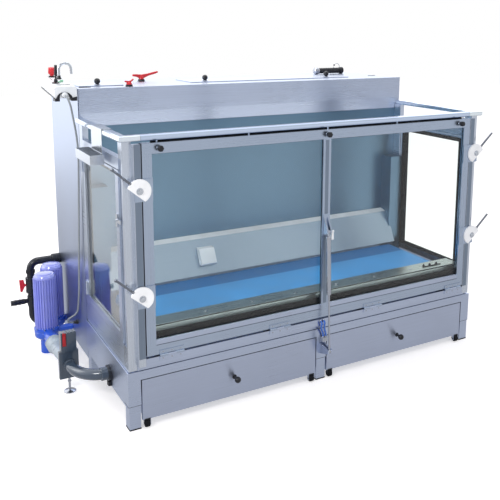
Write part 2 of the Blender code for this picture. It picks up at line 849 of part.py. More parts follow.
def end_frame(root, side):
    """The fixed frame round an end door: sill panel, transom, rear column and the rim above."""
    wall = across(INSET, INSET + COLUMN_THICK, side)
    front = POST_DEPTH + CLEAR
    rim_x = mirrored(INSET - RIM_OVERHANG + RIM_WIDTH / 2, side)
    add = [
        block(wall, (front, COLUMN_FRONT + 0.002), (TANK_FLOOR, END_BOTTOM - 0.004)),
        block(wall, (COLUMN_FRONT, BACK_FACE - CLEAR), (TANK_FLOOR, RIM_TOP - RIM + 0.002)),
        block(wall, (front, COLUMN_FRONT + 0.002), (END_TOP + 0.003, TRANSOM_TOP)),
        rim_tube([(rim_x, RIM_CORNER + CLEAR), (rim_x, RIM_BACK)]),
    ]
    cut = []
    for place in end_hinge_places(side):
        moving, fixed, holes = butt_hinge(place, END_HINGE_WIDTH, HINGE_OUT, HINGE_OUT + INSET - END_OUT)
        for helper in moving:
            bpy.data.objects.remove(helper)
        add += fixed
        cut += holes
    solid(f"end_frame_{side}", root, "brushed_steel", add, cut)


def back_wall(root):
    wide = (INSET + 0.001, LENGTH - INSET - 0.001)
    add = [block(wide, (BACK_FACE, TANK_DEPTH), (TANK_FLOOR, SPLASH_BOTTOM - CLEAR))]
    inner = INSET + COLUMN_THICK + CLEAR
    for side in ("left", "right"):
        span = across(inner, inner + COLUMN_BOX, side)
        add.append(block(span, (BACK_FACE - COLUMN_BOX, BACK_FACE + 0.001), (TANK_FLOOR, COLUMN_BOX_TOP)))
    guard = folded_guard()
    cut = [slab(guard_space(guard), "x", GUARD_ENDS)]
    solid("back_wall", root, "brushed_steel", add, cut)


def folded_guard():
    """The side view of the rear guard: a foot, an upright, the slanted face and the sloping head."""
    web = BELT_BACK + DECK_EDGE + 0.002
    lean = GUARD_RISE / (BACK_FACE - GUARD_HEAD[0])
    return [
        (web, TANK_FLOOR),
        (web, GUARD_FOOT[1] - 0.008),
        (GUARD_FOOT[0], GUARD_FOOT[1]),
        GUARD_HEAD,
        (BACK_FACE - CLEAR - lean * GUARD_SHEET, GUARD_HEAD[1] + GUARD_RISE),
    ]


def guard_space(points):
    """The space that the guard and what lies behind it take, with a little room."""
    room = 0.001
    face = [(y - room, z + room) for y, z in points[2:4]]
    return [
        (points[0][0] - room, points[0][1] - room),
        (points[1][0] - room, points[1][1]),
        *face,
        (BACK_FACE, points[4][1] + room),
        (BACK_FACE, points[0][1] - room),
    ]


# Running gear


def rail_web_front():
    return BELT_FRONT - DECK_EDGE - RAIL_WEB - 0.002


def side_rail_front(root):
    web = rail_web_front()
    outline = folded(
        [(BELT_FRONT - 0.002, RAIL_TOP), (RAIL_FRONT, RAIL_TOP)],
        RAIL_FLANGE,
    )
    ledge_y = (web, BELT_FRONT - 0.004)
    ledge_z = (deck_low() - CLEAR - RAIL_FLANGE, deck_low() - CLEAR)
    add = [
        block(RAIL_ENDS, (web, web + RAIL_WEB), (TANK_FLOOR, RAIL_TOP - 0.001)),
        block(RAIL_ENDS, (RAIL_FRONT, web + 0.001), (TANK_FLOOR, TANK_FLOOR + RAIL_FLANGE)),
        block(deck_ends(), ledge_y, ledge_z),
        slab(outline, "x", RAIL_ENDS),
    ]
    cut = []
    for x in roller_places().values():
        cut.append(bore((x, RAIL_FRONT, ROLLER_Z), (x, BELT_FRONT, ROLLER_Z), SHAFT))
    pitch = (LENGTH - sum(STUD_ENDS)) / (STUDS - 1)
    for i in range(STUDS):
        x = STUD_ENDS[0] + i * pitch
        add.append(rod((x, STUD_Y, RAIL_TOP - 0.001), (x, STUD_Y, RAIL_TOP + 0.004), STUD, 6))
    solid("side_rail_front", root, "bright_steel", add, cut)


def deck_ends():
    return (BELT_LEFT + 2 * BELT_OUTER + 0.012, BELT_RIGHT - 2 * BELT_OUTER - 0.012)


def deck_low():
    """The height of the slider bed's underside."""
    return ROLLER_Z + ROLLER - BELT - 0.024


def roller_places():
    return {"drive_roller": BELT_LEFT + BELT_OUTER, "idler_roller": BELT_RIGHT - BELT_OUTER}


def belt_deck(root):
    """The slider bed inside the belt's loop, which rests on the two side rails."""
    deep = (BELT_FRONT - DECK_EDGE, BELT_BACK + DECK_EDGE)
    bed = block(deck_ends(), deep, (deck_low(), ROLLER_Z + ROLLER))
    solid("belt_deck", root, "brushed_steel", [bed])


def belt_loop(root):
    left, right = (roller_places()[name] for name in ("drive_roller", "idler_roller"))
    rings = []
    for radius in (BELT_OUTER, BELT_OUTER - BELT):
        turns = arc((left, ROLLER_Z), radius, 270, 90, 12)
        rings.append(turns + arc((right, ROLLER_Z), radius, 90, -90, 12))
    outer = slab(rings[0], "y", (BELT_FRONT, BELT_BACK))
    inner = slab(rings[1], "y", (BELT_FRONT - 0.01, BELT_BACK + 0.01))
    solid("belt", root, "belt_blue", [outer], [inner])


def roller(root, name):
    x = roller_places()[name]
    body = Body(f"{name}_spin", root, (x, (BELT_FRONT + BELT_BACK) / 2, ROLLER_Z))
    ends = (rail_web_front() - 0.004, BELT_BACK + DECK_EDGE + 0.002 + GUARD_SHEET + 0.004)
    face = ROLLER - CLEAR
    profile = [
        (0, SHAFT),
        (BELT_FRONT + 0.002 - ends[0], SHAFT),
        (BELT_FRONT + 0.002 - ends[0], face),
        (BELT_BACK - 0.002 - ends[0], face),
        (BELT_BACK - 0.002 - ends[0], SHAFT),
        (ends[1] - ends[0], SHAFT),
    ]
    solid(name, body, "bright_steel", [turned((x, ends[0], ROLLER_Z), (0, 1, 0), profile, 20)])


def side_guard_rear(root):
    """The rear side rail with the slanted guard above it, in one folded sheet."""
    sheet = slab(folded(folded_guard(), -GUARD_SHEET), "x", GUARD_ENDS)
    web = folded_guard()[0][0]
    ledge_z = (deck_low() - CLEAR - RAIL_FLANGE, deck_low() - CLEAR)
    ledge = block(deck_ends(), (web + GUARD_SHEET / 2, BELT_BACK + 0.004), ledge_z)
    foot = block(GUARD_ENDS, (web, web + 0.045), (TANK_FLOOR, TANK_FLOOR + GUARD_SHEET))
    cut = []
    for x in roller_places().values():
        cut.append(bore((x, web - 0.01, ROLLER_Z), (x, web + 0.02, ROLLER_Z), SHAFT))
    solid("side_guard_rear", root, "brushed_steel", [sheet, ledge, foot], cut)


def inlet_hood(root):
    slope = (GUARD_HEAD[0] - GUARD_FOOT[0]) / (GUARD_HEAD[1] - GUARD_FOOT[1])

    def face(z):
        return GUARD_FOOT[0] + slope * (z - GUARD_FOOT[1]) - CLEAR * 1.2

    outline = [
        (face(HOOD_BOTTOM), HOOD_BOTTOM),
        (face(HOOD_TOP), HOOD_TOP),
        (face(HOOD_TOP) - HOOD_DEPTH, HOOD_TOP),
        (face(HOOD_TOP) - HOOD_DEPTH - 0.008, HOOD_TOP - 0.012),
        (face(HOOD_BOTTOM) - HOOD_DEPTH, HOOD_BOTTOM + 0.010),
        (face(HOOD_BOTTOM) - HOOD_DEPTH + 0.006, HOOD_BOTTOM),
    ]
    solid("inlet_hood", root, "white_plastic", [slab(outline, "x", HOOD_ENDS)])


# Front door


def front_door(root):
    axis = (MULLION, HINGE_Y, HINGE_Z)
    body = Body("front_door_hinge", root, axis)
    front, back = DOOR_FRONT, DOOR_BACK
    panes = {
        "left": (DOOR_LEFT + STILE, MULLION - STILE / 2),
        "right": (MULLION + STILE / 2, DOOR_RIGHT - STILE),
    }
    pane_z = (DOOR_BOTTOM + BOTTOM_RAIL, DOOR_TOP - TOP_RAIL)
    add = [block((DOOR_LEFT, DOOR_RIGHT), (front, back), (DOOR_BOTTOM, DOOR_TOP))]
    cut = []
    for low, high in panes.values():
        cut.append(block((low, high), (front - 0.01, back + 0.01), pane_z))
        wide = (low - REBATE, high + REBATE)
        tall = (pane_z[0] - REBATE, pane_z[1] + REBATE)
        cut.append(block(wide, (front + GLASS_FACE, back + 0.01), tall))
    rim = (DOOR_LEFT - DOOR_GAP / 2 + 0.001, DOOR_RIGHT + DOOR_GAP / 2 - 0.003)
    add.append(rim_tube([(x, RIM_WIDTH / 2 - RIM_FRONT) for x in rim]))
    for x in SPACER_PINS:
        add.append(rod((x, -0.008, DOOR_TOP - 0.004), (x, -0.008, RIM_TOP - RIM + 0.004), SPACER, 10))
    for place in front_hinges():
        moving, fixed, holes = butt_hinge(place, HINGE_WIDTH, HINGE_OUT, HINGE_OUT)
        for helper in [*fixed, *holes]:
            bpy.data.objects.remove(helper)
        add += moving
    for side, (x, z) in CLAMPS.items():
        add += clamp_mount(side, x, z)
    y, z = STRUT_TOP
    add += strut_bracket(front + 0.002, y - STRUT_EYE, z - 0.020, z + 0.083, STRUT_TOP)
    outer = STRUT_EYE_THICK / 2 + CLEAR * 2 + STRUT_EAR
    plate_x = (STRUT_X - outer - 0.003, STRUT_X + outer + 0.003)
    add.append(block(plate_x, (front + 0.002, front - 0.003), (z - 0.024, z + 0.087)))
    add.append(rod((STRUT_X - outer, y, z), (STRUT_X + outer, y, z), STRUT_PIN, 12))
    z = knob_height()
    for x in knob_places():
        cut.append(bore((x, front - 0.002, z), (x, front + 0.018, z), KNOB_STEM, CLEAR, 12))
    solid("front_door_frame", body, "brushed_steel", add, cut)
    glass_y = (front + GLASS_FACE + CLEAR, front + GLASS_FACE + CLEAR + GLASS)
    for side, (low, high) in panes.items():
        edge = REBATE - CLEAR
        tall = (pane_z[0] - edge, pane_z[1] + edge)
        solid(f"front_glass_{side}", body, "glass", [block((low - edge, high + edge), glass_y, tall)])
    for name, x in zip(("left", "middle", "right"), knob_places()):
        clamp_knob(body, name, x)
    for side, (x, z) in CLAMPS.items():
        clamp_disc(body, side, x, z)
    gas_strut(body)


def knob_places():
    return (DOOR_LEFT + KNOB_INSET, MULLION, DOOR_RIGHT - KNOB_INSET)


def knob_height():
    return DOOR_TOP - TOP_RAIL / 2


def clamp_knob(door, name, x):
    """A black clamp knob whose stem turns in the top rail."""
    z = knob_height()
    body = Body(f"clamp_knob_{name}_turn", door, (x, DOOR_FRONT, z))
    profile = [
        (-0.016, KNOB_STEM),
        (KNOB_STAND, KNOB_STEM),
        (KNOB_STAND, KNOB * 0.7),
        (KNOB_STAND + 0.006, KNOB),
        (KNOB_STAND + 0.016, KNOB),
        (KNOB_STAND + 0.021, KNOB * 0.7),
    ]
    grip = turned((x, DOOR_FRONT, z), (0, -1, 0), profile, 12)
    notches = []
    for i in range(3):
        angle = 2 * math.pi * (i + 0.25) / 3
        reach = KNOB * 1.25
        spot = (x + reach * math.cos(angle), z + reach * math.sin(angle))
        start = (spot[0], DOOR_FRONT - KNOB_STAND + 0.001, spot[1])
        end = (spot[0], DOOR_FRONT - KNOB_STAND - 0.024, spot[1])
        notches.append(rod(start, end, KNOB * 0.45, 8))
    solid(f"clamp_knob_{name}", body, "black_plastic", [grip], notches)


def clamp_mount(side, x, z):
    """The plate on the door's stile that carries a clamp's bolt in front of the jamb."""
    outer = x - 0.018 if "left" in side else x + 0.018
    if "left" in side:
        stile, end = DOOR_LEFT, DOOR_LEFT + CLAMP_PLATE_REACH
    else:
        stile, end = DOOR_RIGHT, DOOR_RIGHT - CLAMP_PLATE_REACH
    half = CLAMP_PLATE_HEIGHT / 2
    inward = math.copysign(0.001, end - stile)
    face = DOOR_FRONT - CLEAR * 1.5
    tall = (z - half, z + half)
    head = face - CLAMP_PLATE - CLEAR * 2 - DISC_THICK
    return [
        block((outer, end), (face, face - CLAMP_PLATE), tall),
        block((stile + inward, end), (DOOR_FRONT + 0.001, face - 0.001), tall),
        rod((x, face - 0.001, z), (x, head - 0.002, z), CLAMP_BOLT, 12),
        rod((x, head - CLEAR, z), (x, head - 0.005, z), CLAMP_HEAD, 12),
    ]


def clamp_disc(door, side, x, z):
    """A round clamp disc with one flat, on a bolt, with its rod and ball."""
    left = "left" in side
    face = DOOR_FRONT - CLEAR * 1.5 - CLAMP_PLATE - CLEAR
    body = Body(f"clamp_disc_{side}_turn", door, (x, face, z))
    flat = math.degrees(math.acos(DISC_FLAT / DISC))
    middle = 180 - FLAT_ANGLE if left else FLAT_ANGLE
    outline = arc((x, z), DISC, middle + flat, middle + 360 - flat, 20)
    angle = math.radians(180 - ROD_ANGLE if left else ROD_ANGLE)
    along = Vector((math.cos(angle), 0, math.sin(angle)))
    centre = Vector((x, face - DISC_THICK / 2, z))
    add = [
        slab(outline, "y", (face - DISC_THICK, face)),
        rod(centre + along * DISC * 0.7, centre + along * CLAMP_REACH, CLAMP_ROD, 10),
        ball(centre + along * CLAMP_REACH, CLAMP_BALL, 10),
    ]
    cut = [bore((x, face + 0.01, z), (x, face - DISC_THICK - 0.01, z), CLAMP_BOLT, CLEAR, 12)]
    solid(f"clamp_disc_{side}", body, "white_plastic", add, cut)


def gas_strut(door):
    """The strut that holds the front door: a tube on the door and a rod that slides in it."""
    top = Vector((STRUT_X, *STRUT_TOP))
    foot = Vector((STRUT_X, *STRUT_FOOT))
    along = (foot - top).normalized()
    tube = Body("strut_tube_hinge", door, top)
    half = STRUT_EYE_THICK / 2
    mouth = top + along * STRUT_TUBE_LENGTH
    add = [
        rod(top - Vector((half, 0, 0)), top + Vector((half, 0, 0)), STRUT_EYE, 16),
        rod(top + along * STRUT_EYE * 0.5, top + along * 0.026, half - CLEAR, 12),
        rod(top + along * 0.022, mouth, STRUT_TUBE, 16),
    ]
    cut = [
        bore(top - Vector((1, 0, 0)) * 0.02, top + Vector((1, 0, 0)) * 0.02, STRUT_PIN, CLEAR, 12),
        bore(top + along * 0.040, mouth + along * 0.01, STRUT_ROD, CLEAR * 1.5, 12),
    ]
    solid("strut_tube", tube, "bright_steel", add, cut)
    inside = Body("strut_rod_slide", tube, mouth)
    add = [
        rod(mouth - along * STRUT_OVERLAP, foot - along * STRUT_EYE * 0.6, STRUT_ROD, 12),
        rod(foot - Vector((half, 0, 0)), foot + Vector((half, 0, 0)), STRUT_EYE, 16),
    ]
    solid("strut_rod", inside, "bright_steel", add)


# End doors and tray


def end_door(root, side):
    x = mirrored(END_OUT - HINGE_OUT, side)
    body = Body(f"end_door_{side}_hinge", root, (x, END_AXIS, (END_BOTTOM + END_TOP) / 2))
    thick = across(END_OUT, END_OUT + END_THICK, side)
    back = END_AXIS - 0.0015
    add = [block(thick, (END_FRONT, back), (END_BOTTOM, END_TOP))]
    pane_y = (END_FRONT + END_STILE, back - END_STILE / 2)
    pane_z = (END_BOTTOM + END_STILE, END_TOP - END_TOP_RAIL)
    cut = [block(across(END_OUT - 0.01, END_OUT + END_THICK + 0.01, side), pane_y, pane_z)]
    wide = (pane_y[0] - REBATE, pane_y[1] + REBATE)
    tall = (pane_z[0] - REBATE, pane_z[1] + REBATE / 2)
    cut.append(block(across(END_OUT + GLASS_FACE, END_OUT + END_THICK + 0.01, side), wide, tall))
    for place in end_hinge_places(side):
        moving, fixed, holes = butt_hinge(place, END_HINGE_WIDTH, HINGE_OUT, HINGE_OUT)
        for helper in [*fixed, *holes]:
            bpy.data.objects.remove(helper)
        add += moving
    bolt_y = END_FRONT + END_STILE / 2
    outside = mirrored(END_OUT - 0.02, side)
    inside = mirrored(END_OUT + 0.014, side)
    cut.append(bore((outside, bolt_y, LATCH_HEIGHT), (inside, bolt_y, LATCH_HEIGHT), KNOB_STEM, CLEAR, 12))
    solid(f"end_door_{side}", body, "brushed_steel", add, cut)
    edge = CLEAR
    glass_x = across(END_OUT + GLASS_FACE + CLEAR, END_OUT + GLASS_FACE + CLEAR + GLASS, side)
    glass_y = (wide[0] + edge, wide[1] - edge)
    solid(f"end_glass_{side}", body, "glass", [block(glass_x, glass_y, (tall[0] + edge, tall[1] - edge))])
    latch(body, side, bolt_y)


def latch(door, side, bolt_y):
    """The turning latch on an end door's front stile, whose nose reaches over to the post."""
    face = mirrored(END_OUT - CLEAR * 1.5, side)
    out = -1 if side == "left" else 1
    body = Body(f"end_latch_{side}_turn", door, (face, bolt_y, LATCH_HEIGHT))
    width, height = LATCH
    plate = (face, face + out * 0.006)
    nose = (bolt_y - width, bolt_y + 0.012)
    z = LATCH_HEIGHT
    add = [
        block(plate, nose, (z - 0.009, z + 0.009)),
        block(plate, (bolt_y - 0.012, bolt_y + 0.012), (z - height / 2, z + height / 2)),
        rod((face - out * 0.012, bolt_y, z), (face + out * 0.012, bolt_y, z), KNOB_STEM, 12),
    ]
    solid(f"end_latch_{side}", body, "bright_steel", add)


def hook_tray(root):
    """A tray that hangs on the left rim by a folded plate."""
    outer = INSET - RIM_OVERHANG - CLEAR
    inner = outer + RIM_WIDTH + 2 * CLEAR
    sheet = TRAY_SHEET
    over = RIM_TOP + CLEAR
    hook = folded([(inner, RIM_TOP - 0.016), (inner, over), (outer, over), (outer, TRAY_BOTTOM)], -sheet)
    back = outer - sheet
    front = -TRAY_OUT
    add = [
        slab(hook, "y", (HOOK_FRONT, HOOK_BACK)),
        block((front, back + sheet / 2), (TRAY_FRONT, TRAY_BACK), (TRAY_BOTTOM, TRAY_TOP)),
    ]
    room = (front + sheet, back - sheet)
    cut = [block(room, (TRAY_FRONT + sheet, TRAY_BACK - sheet), (TRAY_BOTTOM + sheet, TRAY_TOP + 0.01))]
    solid("hook_tray", root, "bright_steel", add, cut)


# Cabinet, splash back and what stands on the deck


def lid_plate(side):
    """The left and right edge and the front and back edge of a lid."""
    knobs, y = LIDS[side]
    return (knobs[0] - LID_END, knobs[-1] + LID_END), (y - LID_DEPTH / 2, y + LID_DEPTH / 2)


def lid_hole(side):
    """The hole in the deck under a lid."""
    return [(low + LID_HOLE, high - LID_HOLE) for low, high in lid_plate(side)]


def reservoir_cabinet(root):
    front = TANK_DEPTH + SHEET + CLEAR
    span_x = (INSET, LENGTH - INSET)
    sheet = CABINET_SHEET
    add = [block(span_x, (front, DEPTH), (CABINET_BOTTOM, DECK_TOP))]
    inside_x = (span_x[0] + sheet, span_x[1] - sheet)
    cut = [block(inside_x, (front + sheet, DEPTH - sheet), (CABINET_BOTTOM + sheet, DECK_TOP - sheet))]
    for side in LIDS:
        cut.append(block(*lid_hole(side), (DECK_TOP - 0.03, DECK_TOP + 0.01)))
    for x, y in (WING_PLACE, SMALL_PLACE):
        add.append(rod((x, y, DECK_TOP - 0.001), (x, y, DECK_TOP + BOSS_HEIGHT), BOSS, 16))
        socket = ((x, y, DECK_TOP + 0.002), (x, y, DECK_TOP + BOSS_HEIGHT + 0.01))
        cut.append(bore(*socket, VALVE_STEM, CLEAR, 12))
    for x in (INSET + 0.05, LENGTH - INSET - 0.05):
        for y in (front + 0.09, DEPTH - 0.05):
            add.append(rod((x, y, 0), (x, y, 0.012), CABINET_FOOT * 1.4, 14))
            add.append(rod((x, y, 0.010), (x, y, CABINET_BOTTOM + 0.001), CABINET_FOOT / 2, 10))
    solid("reservoir_cabinet", root, "brushed_steel", add, cut)


def splash_back(root):
    """The folded sheet between the rim and the cabinet's deck."""
    face = TANK_DEPTH - 0.006
    points = [
        (face + SPLASH_SLANT - 0.002, SPLASH_BOTTOM),
        (face, SPLASH_CREASE),
        (face, DECK_TOP + SHEET + CLEAR),
        (TANK_DEPTH + SPLASH_FLANGE, DECK_TOP + SHEET + CLEAR),
    ]
    outline = folded(points, -SHEET)
    span = (INSET + SHEET, LENGTH - INSET)
    solid("splash_back", root, "brushed_steel", [slab(outline, "x", span)])


def reservoir_lid(root, side):
    knobs, y = LIDS[side]
    low = DECK_TOP + CLEAR
    body = Body(f"reservoir_lid_{side}_lift", root, (sum(knobs) / len(knobs), y, low))
    plate_x, plate_y = lid_plate(side)
    hole_x, hole_y = lid_hole(side)
    knob_y = y + LID_KNOB_SHIFT
    top = low + LID_THICK
    spigot_x = (hole_x[0] + 0.001, hole_x[1] - 0.001)
    spigot_y = (hole_y[0] + 0.001, hole_y[1] - 0.001)
    add = [
        block(plate_x, plate_y, (low, top)),
        block(spigot_x, spigot_y, (low - LID_SPIGOT, low + 0.001)),
    ]
    for x in knobs:
        add.append(rod((x, knob_y, top - 0.001), (x, knob_y, top + BALL), 0.006, 10))
        add.append(ball((x, knob_y, top + BALL + 0.001), BALL, 12))
    solid(f"reservoir_lid_{side}", body, "brushed_steel", add)


def wing_handle(root, name, place, arms, tall, turn):
    """A two-armed valve handle on a stem that turns in its boss on the deck."""
    x, y = place
    low = DECK_TOP + BOSS_HEIGHT
    body = Body(f"{name}_turn", root, (x, y, low))
    left, right = arms
    outline = [
        (-left, tall * 0.45),
        (-left * 0.90, tall * 0.85),
        (0, tall * 0.75),
        (right * 0.50, tall),
        (right * 0.92, tall * 1.30),
        (right, tall * 1.20),
        (right * 0.96, tall * 0.85),
        (right * 0.40, tall * 0.45),
        (BOSS * 0.7, 0.0),
        (-BOSS * 0.7, 0.0),
    ]
    wings = slab(outline, "y", (-WING_THICK / 2, WING_THICK / 2))
    spin = Matrix.Rotation(math.radians(turn), 4, "Z")
    wings.data.transform(Matrix.Translation((x, y, low + 0.004)) @ spin)
    add = [
        wings,
        rod((x, y, low - 0.008), (x, y, low + tall * 0.4), VALVE_STEM, 12),
        rod((x, y, low + CLEAR), (x, y, low + tall * 0.5), BOSS * 0.8, 12),
    ]
    solid(name, body, "red_plastic", add)


def hand_shower(root):
    """The hand shower that lies on the deck: a bright collar, a ribbed grip and a hanging loop."""
    x, y = SHOWER_PLACE
    sides = 10
    z = DECK_TOP + CLEAR + SHOWER_COLLAR * math.cos(math.pi / sides)
    collar = 0.036
    rib = (SHOWER_LENGTH - collar - 0.030) / (2 * SHOWER_RIBS)
    profile = [(0, SHOWER_COLLAR * 0.7), (0.008, SHOWER_COLLAR), (collar, SHOWER_COLLAR)]
    for i in range(SHOWER_RIBS):
        start = collar + 2 * rib * i + 0.002
        profile.append((start, SHOWER * 0.86))
        profile.append((start + rib, SHOWER))
    profile.append((SHOWER_LENGTH - 0.026, SHOWER * 0.8))
    profile += [(SHOWER_LENGTH - 0.022, SHOWER_COLLAR), (SHOWER_LENGTH, SHOWER_COLLAR)]
    add = [turned((x, y, z), (1, 0, 0), profile, sides)]
    centre = (x + SHOWER_LENGTH * 0.80, z + SHOWER_COLLAR)
    loop = [(a, y, b) for a, b in arc(centre, 0.024, -30, 210, 8)]
    add.append(swept(loop, 0.0018, 6))
    solid("hand_shower", root, "black_plastic", add)


# Console


def console_place():
    """The console's own frame: x from its middle, y back along its bottom, z up from it."""
    tilt = Matrix.Rotation(math.radians(CONSOLE_RISE), 4, "X")
    middle = (CONSOLE_X[0] + CONSOLE_X[1]) / 2
    return Matrix.Translation((middle, CONSOLE_FRONT, CONSOLE_BOTTOM)) @ tilt


def console_spot(place):
    """Where a control stands on the console's top, and which way is up there."""
    x, back = place
    frame = console_place()
    spot = frame @ Vector((x - frame.translation.x, back, CONSOLE_HEIGHT))
    return spot, (frame.to_3x3() @ Vector((0, 0, 1))).normalized()


def console_arm(root):
    """The tube that carries the console, fixed to the cabinet's side."""
    end = INSET - CLEAR
    points = [(ARM_X, ARM_FRONT, ARM_Z)]
    for x, y in arc((ARM_X + ARM_BEND, ARM_BACK - ARM_BEND), ARM_BEND, 180, 90, 5):
        points.append((x, y, ARM_Z))
    points.append((end, ARM_BACK, ARM_Z))
    flange = rod((end - 0.006, ARM_BACK, ARM_Z - 0.012), (end, ARM_BACK, ARM_Z - 0.012), ARM * 1.6)
    solid("console_arm", root, "bright_steel", [swept(points, ARM, 16), flange])


def control_console(root):
    body = Body("console_swivel", root, (ARM_X, CONSOLE_FRONT, ARM_Z))
    place = console_place()
    half = (CONSOLE_X[1] - CONSOLE_X[0]) / 2
    shell = block((-half, half), (0, CONSOLE_LENGTH), (0, CONSOLE_HEIGHT))
    edges = bmesh.new()
    edges.from_mesh(shell.data)
    upper = [e for e in edges.edges if all(v.co.z > CONSOLE_HEIGHT / 2 for v in e.verts)]
    bmesh.ops.bevel(edges, geom=upper, offset=CONSOLE_EDGE, segments=2, affect="EDGES", profile=0.5)
    edges.transform(place)
    edges.to_mesh(shell.data)
    edges.free()
    bracket = block(CONSOLE_X, (CONSOLE_FRONT, CONSOLE_FRONT + BRACKET_DEPTH), (BRACKET_BOTTOM, ARM_Z))
    foot = place @ Vector((*HOOK_PLACE, CONSOLE_HEIGHT - HOOK_RIM * 0.8))
    bow = foot.z + HOOK_HEIGHT + 0.001
    hook = [foot, foot + Vector((0, 0, HOOK_HEIGHT))]
    for x, z in arc((foot.x + HOOK_BOW, bow), HOOK_BOW, 150, 0, 7):
        hook.append(Vector((x, foot.y, z)))
    hook.append(Vector((foot.x + HOOK_BOW * 2 + 0.001, foot.y, foot.z + HOOK_HEIGHT - HOOK_DROP)))
    past = ARM
    back = CONSOLE_FRONT + CONSOLE_LENGTH + past
    slot_x = (ARM_X - BRACKET_SLOT, ARM_X + BRACKET_SLOT)
    slot_y = (CONSOLE_FRONT - past, CONSOLE_FRONT + BRACKET_DEPTH + 0.001)
    cut = [
        bore((ARM_X, CONSOLE_FRONT - past, ARM_Z), (ARM_X, back, ARM_Z), ARM, CLEAR, 16),
        block(slot_x, slot_y, (BRACKET_BOTTOM - 0.01, ARM_Z - 0.002)),
    ]
    holes = (
        (STOP_PLACE, STEM, 0.022),
        (LEVER_PLACE, STEM, LEVER_DEPTH + STEM),
        (START_PLACE, START, 0.010),
    )
    for hole, radius, deep in holes:
        spot, up = console_spot(hole)
        cut.append(bore(spot - up * deep, spot + up * 0.01, radius, CLEAR, 12))
    solid("control_console", body, "white_plastic", [shell, bracket, swept(hook, HOOK_RIM, 8)], cut)
    emergency_stop(body)
    speed_lever(body)
    start_button(body)


def emergency_stop(console):
    spot, up = console_spot(STOP_PLACE)
    body = Body("emergency_stop_press", console, spot)
    profile = [
        (-0.012, STEM),
        (0.010, STEM),
        (0.012, STOP * 0.82),
        (0.020, STOP),
        (STOP_HEIGHT - 0.006, STOP),
        (STOP_HEIGHT, STOP * 0.75),
    ]
    solid("emergency_stop", body, "red_plastic", [turned(spot, up, profile, 16)])


def speed_lever(console):
    spot, up = console_spot(LEVER_PLACE)
    pivot = spot - up * LEVER_DEPTH
    body = Body("speed_lever_tilt", console, pivot)
    knuckle = STEM - RUN / 2
    profile = [(-knuckle, 0.0)]
    for angle in (-60, -30, 0, 30, 60):
        profile.append((knuckle * math.sin(math.radians(angle)), knuckle * math.cos(math.radians(angle))))
    profile += [
        (LEVER_DEPTH + 0.002, 0.003),
        (LEVER_DEPTH + 0.004, 0.011),
        (LEVER_DEPTH + 0.012, 0.008),
        (LEVER_DEPTH + 0.022, 0.005),
        (LEVER_DEPTH + 0.036, 0.0045),
        (LEVER_DEPTH + 0.038, 0.0075),
        (LEVER_DEPTH + LEVER_LENGTH, 0.0070),
    ]
    solid("speed_lever", body, "black_plastic", [turned(pivot, up, profile, 12)])


def start_button(console):
    spot, up = console_spot(START_PLACE)
    body = Body("start_button_press", console, spot)
    profile = [(-0.006, START), (0.006, START), (0.008, START * 0.8)]
    solid("start_button", body, "green_plastic", [turned(spot, up, profile, 12)])


# Pumps and pipes


def pump(root, side):
    """A vertical pump: finned motor above, volute with its pedestal and its stub to the cabinet below."""
    x, y, top = PUMPS[side]
    fins_top = top - 0.022
    fins_low = top - MOTOR_LENGTH
    add = [turned((x, y, fins_low - 0.002), (0, 0, 1), [
        (0, MOTOR - FIN_DEPTH),
        (fins_top - fins_low, MOTOR - FIN_DEPTH),
        (fins_top - fins_low + 0.012, COWL),
        (top - fins_low - 0.006, COWL),
        (top - fins_low + 0.002, COWL * 0.8),
    ], 20)]
    fin_x = (MOTOR - FIN_DEPTH - 0.004, MOTOR)
    for i in range(FINS):
        turn = Matrix.Translation((x, y, 0)) @ Matrix.Rotation(2 * math.pi * (i + 0.5) / FINS, 4, "Z")
        add.append(block(fin_x, (-FIN / 2, FIN / 2), (fins_low - 0.001, fins_top - 0.004), turn))
    volute_low = fins_low - VOLUTE_HEIGHT
    add.append(turned((x, y, volute_low), (0, 0, 1), [
        (0, VOLUTE * 0.72),
        (0.012, VOLUTE * 0.94),
        (VOLUTE_HEIGHT - 0.014, VOLUTE),
        (VOLUTE_HEIGHT, VOLUTE),
    ], 20))
    add.append(rod((x, y, 0), (x, y, volute_low + 0.010), PEDESTAL))
    port = volute_low + PORT_RISE
    add.append(rod((x, y, port), (INSET - CLEAR, y, port), STUB, 12))
    if side == "front":
        add.append(rod((x, y, port), (x, OUTLET_FRONT, port), NECK, 12))
        add.append(rod((x, OUTLET_FRONT + 0.014, port), (x, OUTLET_FRONT, port), UNION, 16))
    solid(f"pump_{side}", root, "blue_paint", add)
    return port


